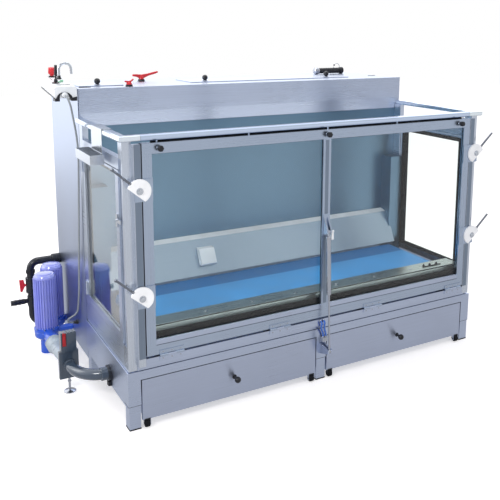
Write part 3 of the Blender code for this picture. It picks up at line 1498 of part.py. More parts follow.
def gate_valve(root, port):
    """The slide valve in front of the front pump, with the pipe behind it and the foot under it."""
    x = VALVE_X
    half_x, half_z = (size / 2 for size in VALVE_PLATE)
    front = VALVE_Y - VALVE_PLATE_THICK / 2
    back = VALVE_Y + VALVE_PLATE_THICK / 2
    body_x, body_y, body_z = VALVE_BODY
    face = VALVE_Y - body_y / 2
    top = VALVE_Z + half_z
    joint = OUTLET_FRONT - CLEAR
    pump_x = PUMPS["front"][0]
    route = [
        (x, back - 0.002, VALVE_Z),
        (x, back + 0.05, VALVE_Z),
        (pump_x, joint - 0.08, port),
        (pump_x, joint - 0.01, port),
    ]
    foot = [(0, PIPE_FOOT), (0.004, PIPE_FOOT), (0.010, FOOT_ROD)]
    union = [(0, UNION), (UNION_LENGTH, UNION), (UNION_LENGTH + 0.02, NECK)]
    add = [
        block((x - half_x, x + half_x), (front, back), (VALVE_Z - half_z, top)),
        block((x - body_x / 2, x + body_x / 2), (face, VALVE_Y + body_y / 2), (top - 0.004, top + body_z)),
        swept(smooth_route(route, 0.04), NECK, 12),
        turned((pump_x, joint, port), (0, -1, 0), union, 16),
        rod((x, VALVE_Y, 0.006), (x, VALVE_Y, VALVE_Z - half_z + 0.004), FOOT_ROD, 10),
        turned((x, VALVE_Y, 0), (0, 0, 1), foot, 16),
    ]
    low, high = (x + edge for edge in VALVE_SLOT)
    slot = block((low, high), (face - 0.01, face + 0.014), (top + 0.030, top + body_z + 0.01))
    solid("gate_valve", root, "grey_plastic", add, [slot])
    handle = Body("gate_valve_lift", root, ((low + high) / 2, face, top + 0.034))
    grip_y = (face - 0.008, face + 0.014 - CLEAR)
    grip = block((low + CLEAR, high - CLEAR), grip_y, (top + 0.030 + CLEAR, top + body_z - 0.002))
    solid("gate_valve_handle", handle, "red_plastic", [grip])


def bend_pipe(root):
    """The grey bend from the slide valve round to the tank base's side."""
    x = VALVE_X
    front = VALVE_Y - VALVE_PLATE_THICK / 2 - CLEAR
    end_y, end_z = BEND_END
    start = front - 0.018
    points = [(x, front, VALVE_Z), (x, start, VALVE_Z)]
    steps = 7
    for i in range(1, steps):
        angle = math.radians(90 * i / steps)
        y = start - (start - end_y) * math.sin(angle)
        points.append((x * math.cos(angle), y, VALVE_Z + (end_z - VALVE_Z) * i / steps))
    points.append((-FLANGE_THICK * 0.7, end_y, end_z))
    add = [
        swept(points, PIPE, 16),
        rod((-CLEAR, end_y, end_z), (-FLANGE_THICK, end_y, end_z), FLANGE, 16),
        rod((x, front, VALVE_Z), (x, front - 0.016, VALVE_Z), PIPE * 1.16, 16),
    ]
    solid("bend_pipe", root, "grey_plastic", add)


def header_pipe(root, port):
    """The black pipe from the cabinet over to the ball valve and down to the rear pump."""
    wall = INSET - CLEAR
    x, y = HEADER_X, HEADER_Y
    bend = HEADER_BEND
    points = [(wall - 0.004, y, HEADER_TOP)]
    for a, b in arc((x + bend, HEADER_TOP - bend), bend, 90, 180, 4):
        points.append((a, y, b))
    inlet = port - HEADER_DROP
    target = Vector(PUMPS["rear"][:2])
    corner = Vector((x, y))
    run = (target - corner).normalized()
    for out, rise in arc((bend, bend), bend, 180, 270, 4):
        points.append((x + run.x * out, y + run.y * out, inlet + rise))
    end = target - run * (VOLUTE + 0.001)
    points.append((end.x, end.y, inlet))
    barbs = []
    for i in range(3):
        start = NOZZLE_REACH * (0.36 + 0.2 * i)
        barbs += [(start, NOZZLE), (start + NOZZLE_REACH * 0.2 - 0.003, NOZZLE * 0.88)]
    nozzle = [(0, NOZZLE * 0.8), (NOZZLE_REACH * 0.33, NOZZLE * 0.8), *barbs, (NOZZLE_REACH, NOZZLE)]
    low, high = BALL_VALVE_HEIGHT - 0.044, BALL_VALVE_HEIGHT + 0.044
    add = [
        swept(points, HEADER, 12),
        rod((wall, y, HEADER_TOP), (wall - 0.050, y, HEADER_TOP), HEADER * 1.35),
        rod((x, y, low), (x, y, high), BALL_VALVE, 16),
        rod((x, y, HEADER_TOP - 0.068), (x, y, HEADER_TOP - 0.048), HEADER * 1.2),
        rod((x, y, TEE_HEIGHT - 0.030), (x, y, TEE_HEIGHT + 0.030), HEADER * 1.2),
        turned((x, y, TEE_HEIGHT), (-1, 0, 0), nozzle, 12),
    ]
    stem = bore((x - 0.060, y, BALL_VALVE_HEIGHT), (x - 0.016, y, BALL_VALVE_HEIGHT), KNOB_STEM, CLEAR, 12)
    solid("header_pipe", root, "black_plastic", add, [stem])
    face = x - BALL_VALVE
    body = Body("ball_valve_turn", root, (face, y, BALL_VALVE_HEIGHT))
    outline = [
        (-0.037, -0.032),
        (-0.037, -0.022),
        (-0.006, -0.006),
        (0.008, -0.006),
        (0.034, -0.012),
        (0.036, -0.036),
        (0.028, -0.036),
    ]
    paddle = [(face + out, BALL_VALVE_HEIGHT + up) for up, out in outline]
    add = [
        slab(paddle, "y", (y - 0.007, y + 0.007)),
        rod((face + 0.012, y, BALL_VALVE_HEIGHT), (face - 0.016, y, BALL_VALVE_HEIGHT), KNOB_STEM, 12),
    ]
    solid("ball_valve_handle", body, "red_plastic", add)


def pump_cable(root):
    """The grey cable from the end of the console's tube down to the cabinet's side by the pumps."""
    start = ARM_FRONT - CLEAR
    wall = INSET - CLEAR
    route = [
        (ARM_X, start, ARM_Z - 0.003),
        (ARM_X, start - 0.012, ARM_Z - 0.003),
        (ARM_X, 0.557, 1.480),
        (ARM_X + 0.002, 0.542, 1.465),
        (ARM_X + 0.006, 0.537, 1.445),
        (ARM_X + 0.014, 0.544, 1.420),
        (-0.048, 0.584, 1.358),
        (-0.027, 0.625, 1.285),
        (-0.012, 0.662, 1.200),
        (-0.006, 0.694, 1.020),
        (-0.006, 0.735, 0.800),
        (-0.006, 0.768, 0.620),
        (-0.006, 0.776, 0.480),
        (-0.006, 0.804, 0.345),
        (-0.006, 0.843, 0.276),
        (-0.013, 0.856, 0.259),
        (-0.031, 0.865, 0.248),
        (-0.049, 0.873, 0.237),
        (-0.056, 0.886, 0.219),
        (-0.049, 0.900, 0.202),
        (-0.034, 0.907, 0.192),
        (-0.016, 0.910, 0.189),
        (wall, 0.910, 0.189),
    ]
    cord("pump_cable", root, "cable_grey", smooth_route(route, CABLE * 5), CABLE)


def sill_hoses(root):
    """Two thin hoses from the sill bar down to a block on the middle leg."""
    front = DOOR_FRONT - CLEAR
    z = SILL_TOP - 0.010
    block_top = BASE_TOP - 0.046
    add = [block((STRUT_X - 0.005, STRUT_X + 0.027), (-0.020, -CLEAR), (block_top - 0.022, block_top))]
    for top, foot in ((-0.023, 0.003), (-0.005, 0.019)):
        top_x, foot_x = STRUT_X + top, STRUT_X + foot
        route = [
            (top_x, front, z),
            (top_x, front - 0.008, z),
            (top_x, front - 0.014, z - 0.010),
            (top_x + 0.004, -0.028, z - 0.040),
            (foot_x - 0.002, -0.014, block_top + 0.020),
            (foot_x, -0.010, block_top - 0.006),
        ]
        add.append(swept(smooth_route(route, HOSE * 2.4), HOSE, 8))
    solid("sill_hoses", root, "blue_hose", add)


def main():
    root = Body("treadmill")
    base_frame(root)
    for side in ("left", "right"):
        drawer(root, side)
    tank_floor(root)
    back_wall(root)
    for side in ("left", "right"):
        post(root, side)
        end_frame(root, side)
    side_rail_front(root)
    side_guard_rear(root)
    belt_deck(root)
    belt_loop(root)
    for name in roller_places():
        roller(root, name)
    inlet_hood(root)
    front_door(root)
    for side in ("left", "right"):
        end_door(root, side)
    hook_tray(root)
    reservoir_cabinet(root)
    splash_back(root)
    for side in LIDS:
        reservoir_lid(root, side)
    wing_handle(root, "wing_valve_handle", WING_PLACE, WING_ARMS, 0.030, 4)
    wing_handle(root, "small_valve_handle", SMALL_PLACE, SMALL_ARMS, 0.020, 0)
    hand_shower(root)
    console_arm(root)
    control_console(root)
    ports = {side: pump(root, side) for side in PUMPS}
    gate_valve(root, ports["front"])
    bend_pipe(root)
    header_pipe(root, ports["rear"])
    pump_cable(root)
    sill_hoses(root)


clear_scene()
FINISHES = materials()
main()
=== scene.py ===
# %% [markdown]
# # A dog underwater treadmill
# The machine is a steel tank with a belt in it. A dog walks on the belt while two pumps fill the tank
# from the cabinet behind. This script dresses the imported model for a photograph: it keeps the solids
# whose shapes are right, gives them real finishes, and builds finer pieces where the solids are plain.

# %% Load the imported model
from math import acos, ceil, cos, degrees, pi, radians, sin, tan

import bmesh
import bpy
from mathutils import Matrix, Vector


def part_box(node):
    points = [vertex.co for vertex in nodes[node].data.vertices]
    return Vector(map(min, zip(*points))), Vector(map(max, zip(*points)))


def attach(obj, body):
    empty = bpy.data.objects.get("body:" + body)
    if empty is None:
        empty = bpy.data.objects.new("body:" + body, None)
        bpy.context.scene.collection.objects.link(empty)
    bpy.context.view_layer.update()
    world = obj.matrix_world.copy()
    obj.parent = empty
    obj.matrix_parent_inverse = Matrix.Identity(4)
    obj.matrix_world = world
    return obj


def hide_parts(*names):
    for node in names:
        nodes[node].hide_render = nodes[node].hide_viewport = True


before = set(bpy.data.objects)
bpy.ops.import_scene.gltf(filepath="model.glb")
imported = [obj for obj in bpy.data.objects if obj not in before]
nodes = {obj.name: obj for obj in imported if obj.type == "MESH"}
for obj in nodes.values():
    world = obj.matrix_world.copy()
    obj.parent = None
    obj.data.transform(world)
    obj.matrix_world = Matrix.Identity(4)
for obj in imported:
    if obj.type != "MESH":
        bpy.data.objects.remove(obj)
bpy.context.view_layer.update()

# %% [markdown]
# ## One drawing for all places
# On the drawing every place is measured from the front left corner of the base: X to the right, Y to
# the back and Z up from the floor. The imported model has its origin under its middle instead, so the
# corner is found from the base frame's own box, and one small function moves a place there.

# %% The corner of the drawing
BASE_DEPTH = 0.690
base_low, base_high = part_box("base_frame")
CORNER = Vector((base_low.x, base_high.y - BASE_DEPTH, 0.0))
print("corner of the drawing:", [round(v, 4) for v in CORNER])


def spot(x, y, z):
    return Vector((x, y, z)) + CORNER


# %% [markdown]
# ## Camera
# The photograph was taken from the left front, a little above the rim. Lines of the tank that are
# parallel in reality meet in the picture, and where they meet gives the camera's turn and its focal
# length. The picture is a crop of a wider one, so its middle isn't the lens's middle: the shift says
# by how much.

# %% Camera
YAW, PITCH, ROLL = (radians(a) for a in (29.735, 10.039, -0.358))
FOCAL_PIXELS = 716.65
PICTURE = 500
LENS_MIDDLE = (276.28, 154.02)

ahead = Vector((sin(YAW) * cos(PITCH), cos(YAW) * cos(PITCH), -sin(PITCH)))
level = Vector((cos(YAW), -sin(YAW), 0))
down = ahead.cross(level)
right = level * cos(ROLL) + down * sin(ROLL)
up = level * sin(ROLL) - down * cos(ROLL)
lens = bpy.data.cameras.new("camera")
lens.sensor_width = 36
lens.lens = FOCAL_PIXELS * lens.sensor_width / PICTURE
lens.shift_x = (PICTURE / 2 - LENS_MIDDLE[0]) / PICTURE
lens.shift_y = (LENS_MIDDLE[1] - PICTURE / 2) / PICTURE
camera = bpy.data.objects.new("camera", lens)
bpy.context.scene.collection.objects.link(camera)
turn = Matrix((right, up, -ahead)).transposed().to_4x4()
camera.matrix_world = Matrix.Translation(spot(-0.909, -2.920, 1.817)) @ turn
bpy.context.scene.camera = camera
bpy.context.scene.view_settings.view_transform = "Standard"
print("lens", round(lens.lens, 1), "mm")

# %% [markdown]
# ## Colour and nodes
# Colours are written as the hex values that a paint chart gives. Blender works with linear light, so
# one function turns a hex value to linear. A second one fills the inputs of a shader node, and a
# third adds a node with its settings. That is all that the materials below need.

# %% Colour and nodes
def linear(hex_colour):
    values = [int(hex_colour[i:i + 2], 16) / 255 for i in (0, 2, 4)]
    return (*[v / 12.92 if v <= 0.04045 else ((v + 0.055) / 1.055) ** 2.4 for v in values], 1.0)


def plug(tree, node, plugs):
    """Fills inputs of a node. A plug is a value, an output of another node, or another node, which
    stands for the first output that it has in use."""
    for name, value in plugs.items():
        if isinstance(value, bpy.types.Node):
            value = next(output for output in value.outputs if output.enabled)
        if isinstance(value, bpy.types.NodeSocket):
            tree.links.new(value, node.inputs[name])
        else:
            node.inputs[name].default_value = value


def add(tree, kind, plugs=None, **settings):
    """Adds a node, applies its settings and fills its inputs."""
    made = tree.nodes.new("ShaderNode" + kind)
    for name, value in settings.items():
        setattr(made, name, value)
    plug(tree, made, plugs or {})
    return made


# %% [markdown]
# ## Room
# The photograph is a cut-out on white: a white floor with a soft shadow, and nothing behind. The
# floor is a big pale sheet. The camera sees it nearly white with its shadow, and reflections see a
# grey that changes from front to back. The room is bright behind and above the machine and dimmer
# behind the camera, with one soft bright patch at the front right, as in a studio. That difference
# is what gives plain steel its light tops and darker fronts. Three softboxes add the shadow.

# %% Floor
FLOOR_TONES = ((-6.0, 0.46), (-1.0, 0.31), (0.2, 0.34), (1.2, 0.30), (2.2, 0.26), (5.0, 0.56),
               (7.5, 0.95), (11.0, 1.0))
FLOOR_FRONT, FLOOR_BACK = -6.0, 12.0


def studio_floor():
    material = bpy.data.materials.new("studio_floor")
    material.use_nodes = True
    tree = material.node_tree
    tree.nodes.clear()
    rays = add(tree, "LightPath").outputs
    paper = add(tree, "BsdfDiffuse", {"Color": linear("EDE9E7")})
    white = add(tree, "Emission", {"Color": linear("FFFFFF"), "Strength": 0.44})
    place = add(tree, "TexCoord").outputs["Object"]
    depth = add(tree, "SeparateXYZ", {"Vector": place}).outputs["Y"]
    share = add(tree, "MapRange", {"Value": depth, "From Min": FLOOR_FRONT, "From Max": FLOOR_BACK})
    ramp = add(tree, "ValToRGB", {"Fac": share})
    for stop in FLOOR_TONES[2:]:
        ramp.color_ramp.elements.new(0.5)
    for element, (at, value) in zip(ramp.color_ramp.elements, FLOOR_TONES):
        element.position = (at - FLOOR_FRONT) / (FLOOR_BACK - FLOOR_FRONT)
        element.color = (value, value, value, 1.0)
    bright = add(tree, "Math", {0: ramp, 1: 1.9}, operation="MULTIPLY")
    grey = add(tree, "Emission", {"Color": linear("EEF2F8"), "Strength": bright})
    seen = add(tree, "AddShader", {0: paper, 1: white})
    mirrored = add(tree, "MixShader", {"Fac": 0.75, 1: paper, 2: grey})
    first = add(tree, "MixShader", {"Fac": rays["Is Camera Ray"], 1: paper, 2: seen})
    second = add(tree, "MixShader", {"Fac": rays["Is Glossy Ray"], 1: first, 2: mirrored})
    through = add(tree, "MixShader", {"Fac": rays["Is Transmission Ray"], 1: second, 2: seen})
    add(tree, "OutputMaterial", {"Surface": through})
    return material


sheet = bmesh.new()
bmesh.ops.create_grid(sheet, x_segments=1, y_segments=1, size=16)
floor_mesh = bpy.data.meshes.new("floor")
sheet.to_mesh(floor_mesh)
sheet.free()
floor_mesh.materials.append(studio_floor())
floor = bpy.data.objects.new("floor", floor_mesh)
floor.location = (0, 0, -0.0005)
bpy.context.scene.collection.objects.link(floor)


# %% World and lamps
def studio_world():
    world = bpy.data.worlds.new("studio")
    world.use_nodes = True
    tree = world.node_tree
    tree.nodes.clear()
    rays = add(tree, "LightPath").outputs
    way = add(tree, "TexCoord").outputs["Generated"]
    parts = add(tree, "SeparateXYZ", {"Vector": way}).outputs
    behind = add(tree, "MapRange", {
        "Value": parts["Y"], "From Min": -0.60, "From Max": 0.30, "To Min": 0.62, "To Max": 1.60,
    }, interpolation_type="SMOOTHSTEP")
    above = add(tree, "MapRange", {
        "Value": parts["Z"], "From Min": 0.35, "From Max": 0.90, "To Min": 0.0, "To Max": 1.10,
    }, interpolation_type="SMOOTHSTEP")
    light = add(tree, "Math", {0: behind, 1: above}, operation="MAXIMUM")
    off_patch = add(tree, "VectorMath", {0: way, 1: (0.40, -0.898, 0.185)}, operation="DISTANCE")
    patch = add(tree, "MapRange", {
        "Value": off_patch, "From Min": 0.34, "From Max": 0.08, "To Min": 0.0, "To Max": 0.25,
    }, interpolation_type="SMOOTHSTEP")
    light = add(tree, "Math", {0: light, 1: patch}, operation="ADD")
    soft = add(tree, "MapRange", {"Value": rays["Is Glossy Ray"], "To Min": 0.88, "To Max": light})
    plain = add(tree, "Math", {0: rays["Is Camera Ray"], 1: rays["Is Transmission Ray"]},
                operation="MAXIMUM")
    strength = add(tree, "MapRange", {"Value": plain, "To Min": soft, "To Max": 1.0})
    sky = add(tree, "Background", {"Color": linear("F6F8FC"), "Strength": strength})
    clear = add(tree, "Background", {"Color": linear("FFFFFF"), "Strength": 1.0})
    both = add(tree, "MixShader", {"Fac": plain, 1: sky, 2: clear})
    add(tree, "OutputWorld", {"Surface": both})
    return world


def softbox(name, place, aim, size, watts):
    lamp = bpy.data.lights.new(name, "AREA")
    lamp.shape = "RECTANGLE"
    lamp.size, lamp.size_y = size
    lamp.energy = watts
    obj = bpy.data.objects.new(name, lamp)
    obj.location = spot(*place)
    obj.rotation_mode = "QUATERNION"
    obj.rotation_quaternion = (spot(*aim) - obj.location).to_track_quat("-Z", "Y")
    obj.visible_camera = False
    bpy.context.scene.collection.objects.link(obj)


bpy.context.scene.world = studio_world()
softbox("softbox_top", (0.9, 1.5, 4.8), (1.0, 0.5, 0.5), (3.2, 0.7), 55)
softbox("softbox_left", (-3.6, 2.6, 2.6), (0.2, 0.8, 0.9), (2.2, 2.6), 40)
softbox("softbox_front", (-2.5, -1.5, 2.8), (0.0, 0.6, 0.6), (1.3, 0.6), 48)
print("room ready")

# %% [markdown]
# ## Stainless steel, brushed and bright
# The tank and the cabinet are welded from sheet and square tube of 304 stainless steel. The mill
# rubs it with an abrasive belt, which leaves fine parallel lines: light spreads across them, so
# the sheet looks soft and cloudy and its colour is a cool grey. The real lines are about 0.1 mm
# apart. They are drawn 2.5 or 4 mm apart here, because finer ones would vanish at this distance.
# A stretched noise makes them, and a second, slow noise makes the faint clouds of real sheet.
# The rim is polished, so the finishes that reach it turn smoother above its height, and their colour
# is lifted there as a painted highlight.
# Each finish has a grey of its own, because the sheets and bars of a real machine never match; the
# darker flat steel is painted shade.

# %% Stainless steel
LINE_LENGTH = 0.30
TONE = {"From Min": 0.7, "From Max": 1.3}


def new_material(name):
    material = bpy.data.materials.new(name)
    material.use_nodes = True
    tree = material.node_tree
    return material, tree, tree.nodes["Principled BSDF"]


def stainless(name, colour, roughness, lines_along, line_gap=0.0025,
              bands=(), spread=0.0, relief=0.05, polish_and_highlight_above=None):
    """Steel with its brushed lines along x, y or z. In each band of heights they run along x."""
    material, tree, shader = new_material(name)
    place = add(tree, "TexCoord").outputs["Object"]
    maps = {}
    for axis in {lines_along, "x"} if bands else {lines_along}:
        stretch = tuple(1 / (LINE_LENGTH if axis == letter else line_gap) for letter in "xyz")
        lines_map = add(tree, "Mapping", {"Vector": place, "Scale": stretch})
        noise = {"Vector": lines_map, "Scale": 1.0, "Detail": 2.0, "Roughness": 0.6}
        maps[axis] = add(tree, "TexNoise", noise)
    lines = maps[lines_along]
    height = add(tree, "SeparateXYZ", {"Vector": place}).outputs["Z"]
    for low, high in bands:
        span = {0: height, 1: (low + high) / 2, 2: (high - low) / 2}
        over = add(tree, "Math", span, operation="COMPARE")
        lines = add(tree, "Mix", {"Factor": over, "A": lines, "B": maps["x"]})
    clouds = add(tree, "TexNoise", {"Vector": place, "Scale": 2.2, "Detail": 3.0})
    tone = {**TONE, "Value": add(tree, "Math", {0: lines, 1: clouds}, operation="ADD")}
    grey = add(tree, "MapRange", {**tone, "To Min": 0.94, "To Max": 1.06})
    shade = add(tree, "VectorMath", {0: linear(colour)[:3], "Scale": grey}, operation="SCALE")
    rough = {**tone, "To Min": roughness - 0.05, "To Max": roughness + 0.05}
    rough = add(tree, "MapRange", rough)
    bump = add(tree, "Bump", {"Height": lines, "Strength": relief, "Distance": 0.0004})
    if polish_and_highlight_above is not None:
        over = add(tree, "Math", {0: height, 1: polish_and_highlight_above}, operation="GREATER_THAN")
        rough = add(tree, "Mix", {"Factor": over, "A": rough, "B": 0.15})
        # Above the rim height the colour is lifted: a painted highlight, while the lower roughness is
        # the real polish.
        lift = add(tree, "MapRange", {"Value": over, "To Min": 1.0, "To Max": 1.35})
        shade = add(tree, "VectorMath", {0: shade, "Scale": lift}, operation="SCALE")
    plug(tree, shader, {"Base Color": shade, "Roughness": rough, "Normal": bump, "Metallic": 1.0,
                        "Anisotropic": spread, "Anisotropic Rotation": 0.25})
    return material


RIM = 1.3345
DOOR_BANDS = ((0.350, 0.402), (1.275, 1.362))
steel_along = stainless("brushed_stainless_along", "C3CCE0", 0.30, "x", spread=0.8)
steel_upright = stainless("brushed_stainless_upright", "BEC7DA", 0.33, "z")
steel_deep = stainless("brushed_stainless_deep", "C3CCE0", 0.30, "y")
steel_post = stainless("brushed_stainless_post", "D6DCE6", 0.26, "z", polish_and_highlight_above=RIM)
steel_end = stainless("brushed_stainless_end", "CCD4E2", 0.30, "y", polish_and_highlight_above=RIM)
steel_door = stainless(
    "brushed_stainless_door", "B6C2D4", 0.28, "z", bands=DOOR_BANDS, polish_and_highlight_above=RIM)
steel_drawer = stainless("brushed_stainless_drawer", "C0C8DC", 0.32, "x", spread=0.85)
steel_wall = stainless("matt_rolled_stainless", "6A859B", 0.34, "x", line_gap=0.004, relief=0.01)
steel_guard = stainless(
    "matt_folded_stainless", "9CADBE", 0.36, "x", line_gap=0.004, relief=0.015)
steel_bright = stainless("bright_rolled_stainless", "D6DAE0", 0.20, "x")
# Darker flats of this steel on the posts and the mullion are painted shade.
steel_shade_flat = stainless("stainless_flat_painted_shade", "8B97A7", 0.34, "z", line_gap=0.004)
steel_dull = stainless(
    "drawn_stainless_bar", "80848D", 0.26, "z", line_gap=0.004)
steel_green = stainless(
    "wet_rolled_stainless", "A9B5B2", 0.28, "x", relief=0.03)
steel_round = stainless("turned_stainless", "B9BCC4", 0.16, "z", line_gap=0.004)

# %% [markdown]
# ## Toughened glass
# The panes are 8 mm float glass, toughened and polished at the edges. Real refraction is kept for
# what the eye sees, but lamps shine straight through it: otherwise the tank would be dark inside,
# because a path tracer finds the bent light only by chance. The index is 1.32 and not the 1.5 of
# real glass, because the panes would then mirror more of this room than the photograph shows.

# %% Glass
def toughened_glass():
    material, tree, shader = new_material("toughened_float_glass")
    plug(tree, shader, {"Base Color": linear("FAFDFC"), "Transmission Weight": 1.0,
                        "Roughness": 0.0, "IOR": 1.32})
    clear = add(tree, "BsdfTransparent", {"Color": linear("F8FBFA")})
    rays = add(tree, "LightPath").outputs
    passing = add(tree, "Math", {0: rays["Is Shadow Ray"], 1: rays["Is Diffuse Ray"]},
                  operation="MAXIMUM")
    mixed = add(tree, "MixShader", {"Fac": passing, 1: shader, 2: clear})
    plug(tree, tree.nodes["Material Output"], {"Surface": mixed})
    return material


glass = toughened_glass()

# %% [markdown]
# ## Plastics, rubber and enamel
# The knobs are glass-filled nylon, the clamp discs are turned from white acetal, the console is a
# white ABS case, the pipes are PVC, and the pumps are cast and enamelled. Moulded plastic takes the
# fine spark-eroded grain of its mould, about 0.6 mm across, and rubber is coarser. All are
# dielectrics with an index near 1.5, so colour, roughness, grain and a clear coat tell them apart.
# Rubber is made to reflect less, because its real surface is porous.

# %% Plastics
SLOW = {"From Min": 0.3, "From Max": 0.7}


def moulded(name, colour, roughness, grain=0.0006, depth=0.08, coat=0.0, sheen=0.5):
    """A moulded or painted surface with a fine grain and slight changes of tone."""
    material, tree, shader = new_material(name)
    place = add(tree, "TexCoord").outputs["Object"]
    specks = add(tree, "TexNoise", {"Vector": place, "Scale": 1 / grain, "Detail": 1.0})
    slow = add(tree, "TexNoise", {"Vector": place, "Scale": 14.0, "Detail": 2.0})
    slow = {**SLOW, "Value": slow}
    tone = add(tree, "MapRange", {**slow, "To Min": 0.95, "To Max": 1.05})
    shade = add(tree, "VectorMath", {0: linear(colour)[:3], "Scale": tone}, operation="SCALE")
    rough = {**slow, "To Min": roughness * 0.85, "To Max": roughness * 1.15}
    rough = add(tree, "MapRange", rough)
    bump = add(tree, "Bump", {"Height": specks, "Strength": depth, "Distance": 0.0003})
    plug(tree, shader, {"Base Color": shade, "Roughness": rough, "Normal": bump, "IOR": 1.50,
                        "Specular IOR Level": sheen, "Coat Weight": coat, "Coat Roughness": 0.08})
    return material


white_acetal = moulded("white_acetal_turned", "F6F7F9", 0.32)
white_abs = moulded("white_abs_moulded", "E9ECEF", 0.38)
black_nylon = moulded("black_nylon_moulded", "14161D", 0.34, depth=0.15)
black_pipe = moulded("black_pvc_pipe", "171B24", 0.26)
slate_pipe = moulded("slate_pvc_pipe", "364353", 0.20, coat=1.0)
pale_union = moulded("pale_grey_pvc_union", "A9B4BD", 0.32)
blue_enamel = moulded("lilac_blue_enamel", "949BE9", 0.18, coat=1.0)
blue_cast = moulded("deep_blue_enamel", "1C55CC", 0.24, coat=0.7)
red_nylon = moulded("red_nylon_moulded", "D0232C", 0.30, coat=0.2)
dark_red = moulded("dark_red_nylon_moulded", "A81C26", 0.36)
green_cap = moulded("green_acrylic_cap", "1FA56A", 0.28)
blue_tube = moulded("blue_polyurethane_hose", "3C6CC4", 0.25, coat=0.3)
cable_skin = moulded("grey_cable_sheath", "8B9196", 0.45)
rubber = moulded(
    "black_epdm_rubber", "0B0D12", 0.58, grain=0.0012, depth=0.25, sheen=0.15)
tread = moulded(
    "black_rubber_tread", "101217", 0.68, grain=0.0015, depth=0.3, sheen=0.2)
smoked = moulded("smoked_acrylic_window", "22262B", 0.12)

# %% [markdown]
# ## The belt
# A treadmill belt for water is a blue PVC sheet with a fabric-like print that gives wet paws grip.
# Its squares are about 3 mm. Two crossed waves make them, and they are deep enough to soften the
# shine along the belt. The far part of the belt is a darker blue with a straight border: painted shade
# of the back wall.

# %% Belt
BELT_PITCH = 0.003
SHADE_FROM = (0.418, 0.422)


def belt_sheet():
    material, tree, shader = new_material("blue_pvc_belt")
    place = add(tree, "TexCoord").outputs["Object"]
    waves = []
    for axis in ("X", "Y"):
        wave = {"Vector": place, "Scale": 1 / (BELT_PITCH * 20), "Distortion": 0.4}
        waves.append(add(tree, "TexWave", wave, bands_direction=axis).outputs["Fac"])
    squares = add(tree, "Math", {0: waves[0], 1: waves[1]}, operation="MULTIPLY")
    stains = add(tree, "TexNoise", {"Vector": place, "Scale": 5.0, "Detail": 4.0})
    stains = {**SLOW, "Value": stains}
    tone = add(tree, "MapRange", {**stains, "To Min": 0.90, "To Max": 1.10})
    depth = add(tree, "SeparateXYZ", {"Vector": place}).outputs["Y"]
    # The far strip of the belt is painted shade of the back wall: a darker blue from this depth back.
    start, end = (CORNER.y + y for y in SHADE_FROM)
    painted_shade = add(tree, "MapRange", {"Value": depth, "From Min": start, "From Max": end})
    blues = {"Factor": painted_shade, "A": linear("3E92D0"), "B": linear("1068A6")}
    blue = add(tree, "Mix", blues, data_type="RGBA")
    shade = add(tree, "VectorMath", {0: blue, "Scale": tone}, operation="SCALE")
    rough = add(tree, "MapRange", {**stains, "To Min": 0.42, "To Max": 0.55})
    bump = add(tree, "Bump", {"Height": squares, "Strength": 0.35, "Distance": 0.0006})
    plug(tree, shader, {"Base Color": shade, "Roughness": rough, "Normal": bump})
    return material


blue_belt = belt_sheet()

# %% [markdown]
# ## Dress the solids that stay
# Sheet and tube are right as they are: they only need their finish and a small radius along each
# edge, because a real folded or sawn edge is never sharp and catches a thin line of light. A Bevel
# modifier adds that radius without touching the mesh.

# %% Dress the solids
DRESS = {
    steel_along: ("base_frame", "tank_floor", "splash_back", "belt_deck"),
    steel_guard: ("side_guard_rear",),
    steel_wall: ("back_wall",),
    steel_upright: ("reservoir_cabinet",),
    steel_post: ("post_left", "post_right"),
    steel_end: ("end_frame_left", "end_frame_right", "end_door_left", "end_door_right"),
    steel_deep: ("reservoir_lid_left", "reservoir_lid_right"),
    steel_door: ("front_door_frame",),
    steel_drawer: ("drawer_left", "drawer_right"),
    steel_green: ("side_rail_front",),
    steel_bright: ("hook_tray", "end_latch_left", "end_latch_right"),
    steel_round: ("drive_roller", "idler_roller", "console_arm"),
    glass: ("front_glass_left", "front_glass_right", "end_glass_left", "end_glass_right"),
    blue_belt: ("belt",),
    white_abs: ("inlet_hood",),
}
NO_RADIUS = {"belt", "drive_roller", "idler_roller", "console_arm"}


def soften(obj, width):
    edge = obj.modifiers.new("edge_radius", "BEVEL")
    edge.width = width
    edge.segments = 2
    edge.limit_method = "ANGLE"
    edge.angle_limit = radians(50)


dressed = set()
for material, names in DRESS.items():
    for name in names:
        obj = nodes[name]
        obj.data.materials.clear()
        obj.data.materials.append(material)
        obj.data.shade_smooth()
        obj.data.set_sharp_from_angle(angle=radians(30))
        if name not in NO_RADIUS:
            soften(obj, 0.001)
        dressed.add(name)
print(len(dressed), "solids dressed")

# %% [markdown]
# ## Tools for the finer pieces
# Six shapes are enough: a box, a turned profile, a rod, a ball, a swept tube, and a flat outline
# with a thickness. Each lies on one bench in the drawing's own places, and one function takes what
# is on the bench as a piece that rides on its body. Places are in metres. The profiles of turned
# parts are in millimetres, as on a workshop drawing.

# %% Shapes
MM = 0.001
UP, FRONT, BACK = Vector((0, 0, 1)), Vector((0, -1, 0)), Vector((0, 1, 0))
LEFT, RIGHT = Vector((-1, 0, 0)), Vector((1, 0, 0))
bench = bmesh.new()


def about(middle, half):
    return middle - half, middle + half


def spokes(count, shift=0.0):
    """Cosine and sine of evenly spaced directions, all turned by a share of one step."""
    return [(cos(a), sin(a)) for a in (2 * pi * (i + shift) / count for i in range(count))]


def arc(centre, radius, start, end, steps):
    angles = [radians(start + (end - start) * i / steps) for i in range(steps + 1)]
    return [(centre[0] + radius * cos(a), centre[1] + radius * sin(a)) for a in angles]


def box(x, y, z, place=None):
    made = bmesh.ops.create_cube(bench, size=1.0)["verts"]
    for vert in made:
        vert.co = Vector((span[1] if c > 0 else span[0]) for span, c in zip((x, y, z), vert.co))
    if place is not None:
        bmesh.ops.transform(bench, matrix=place, verts=made)


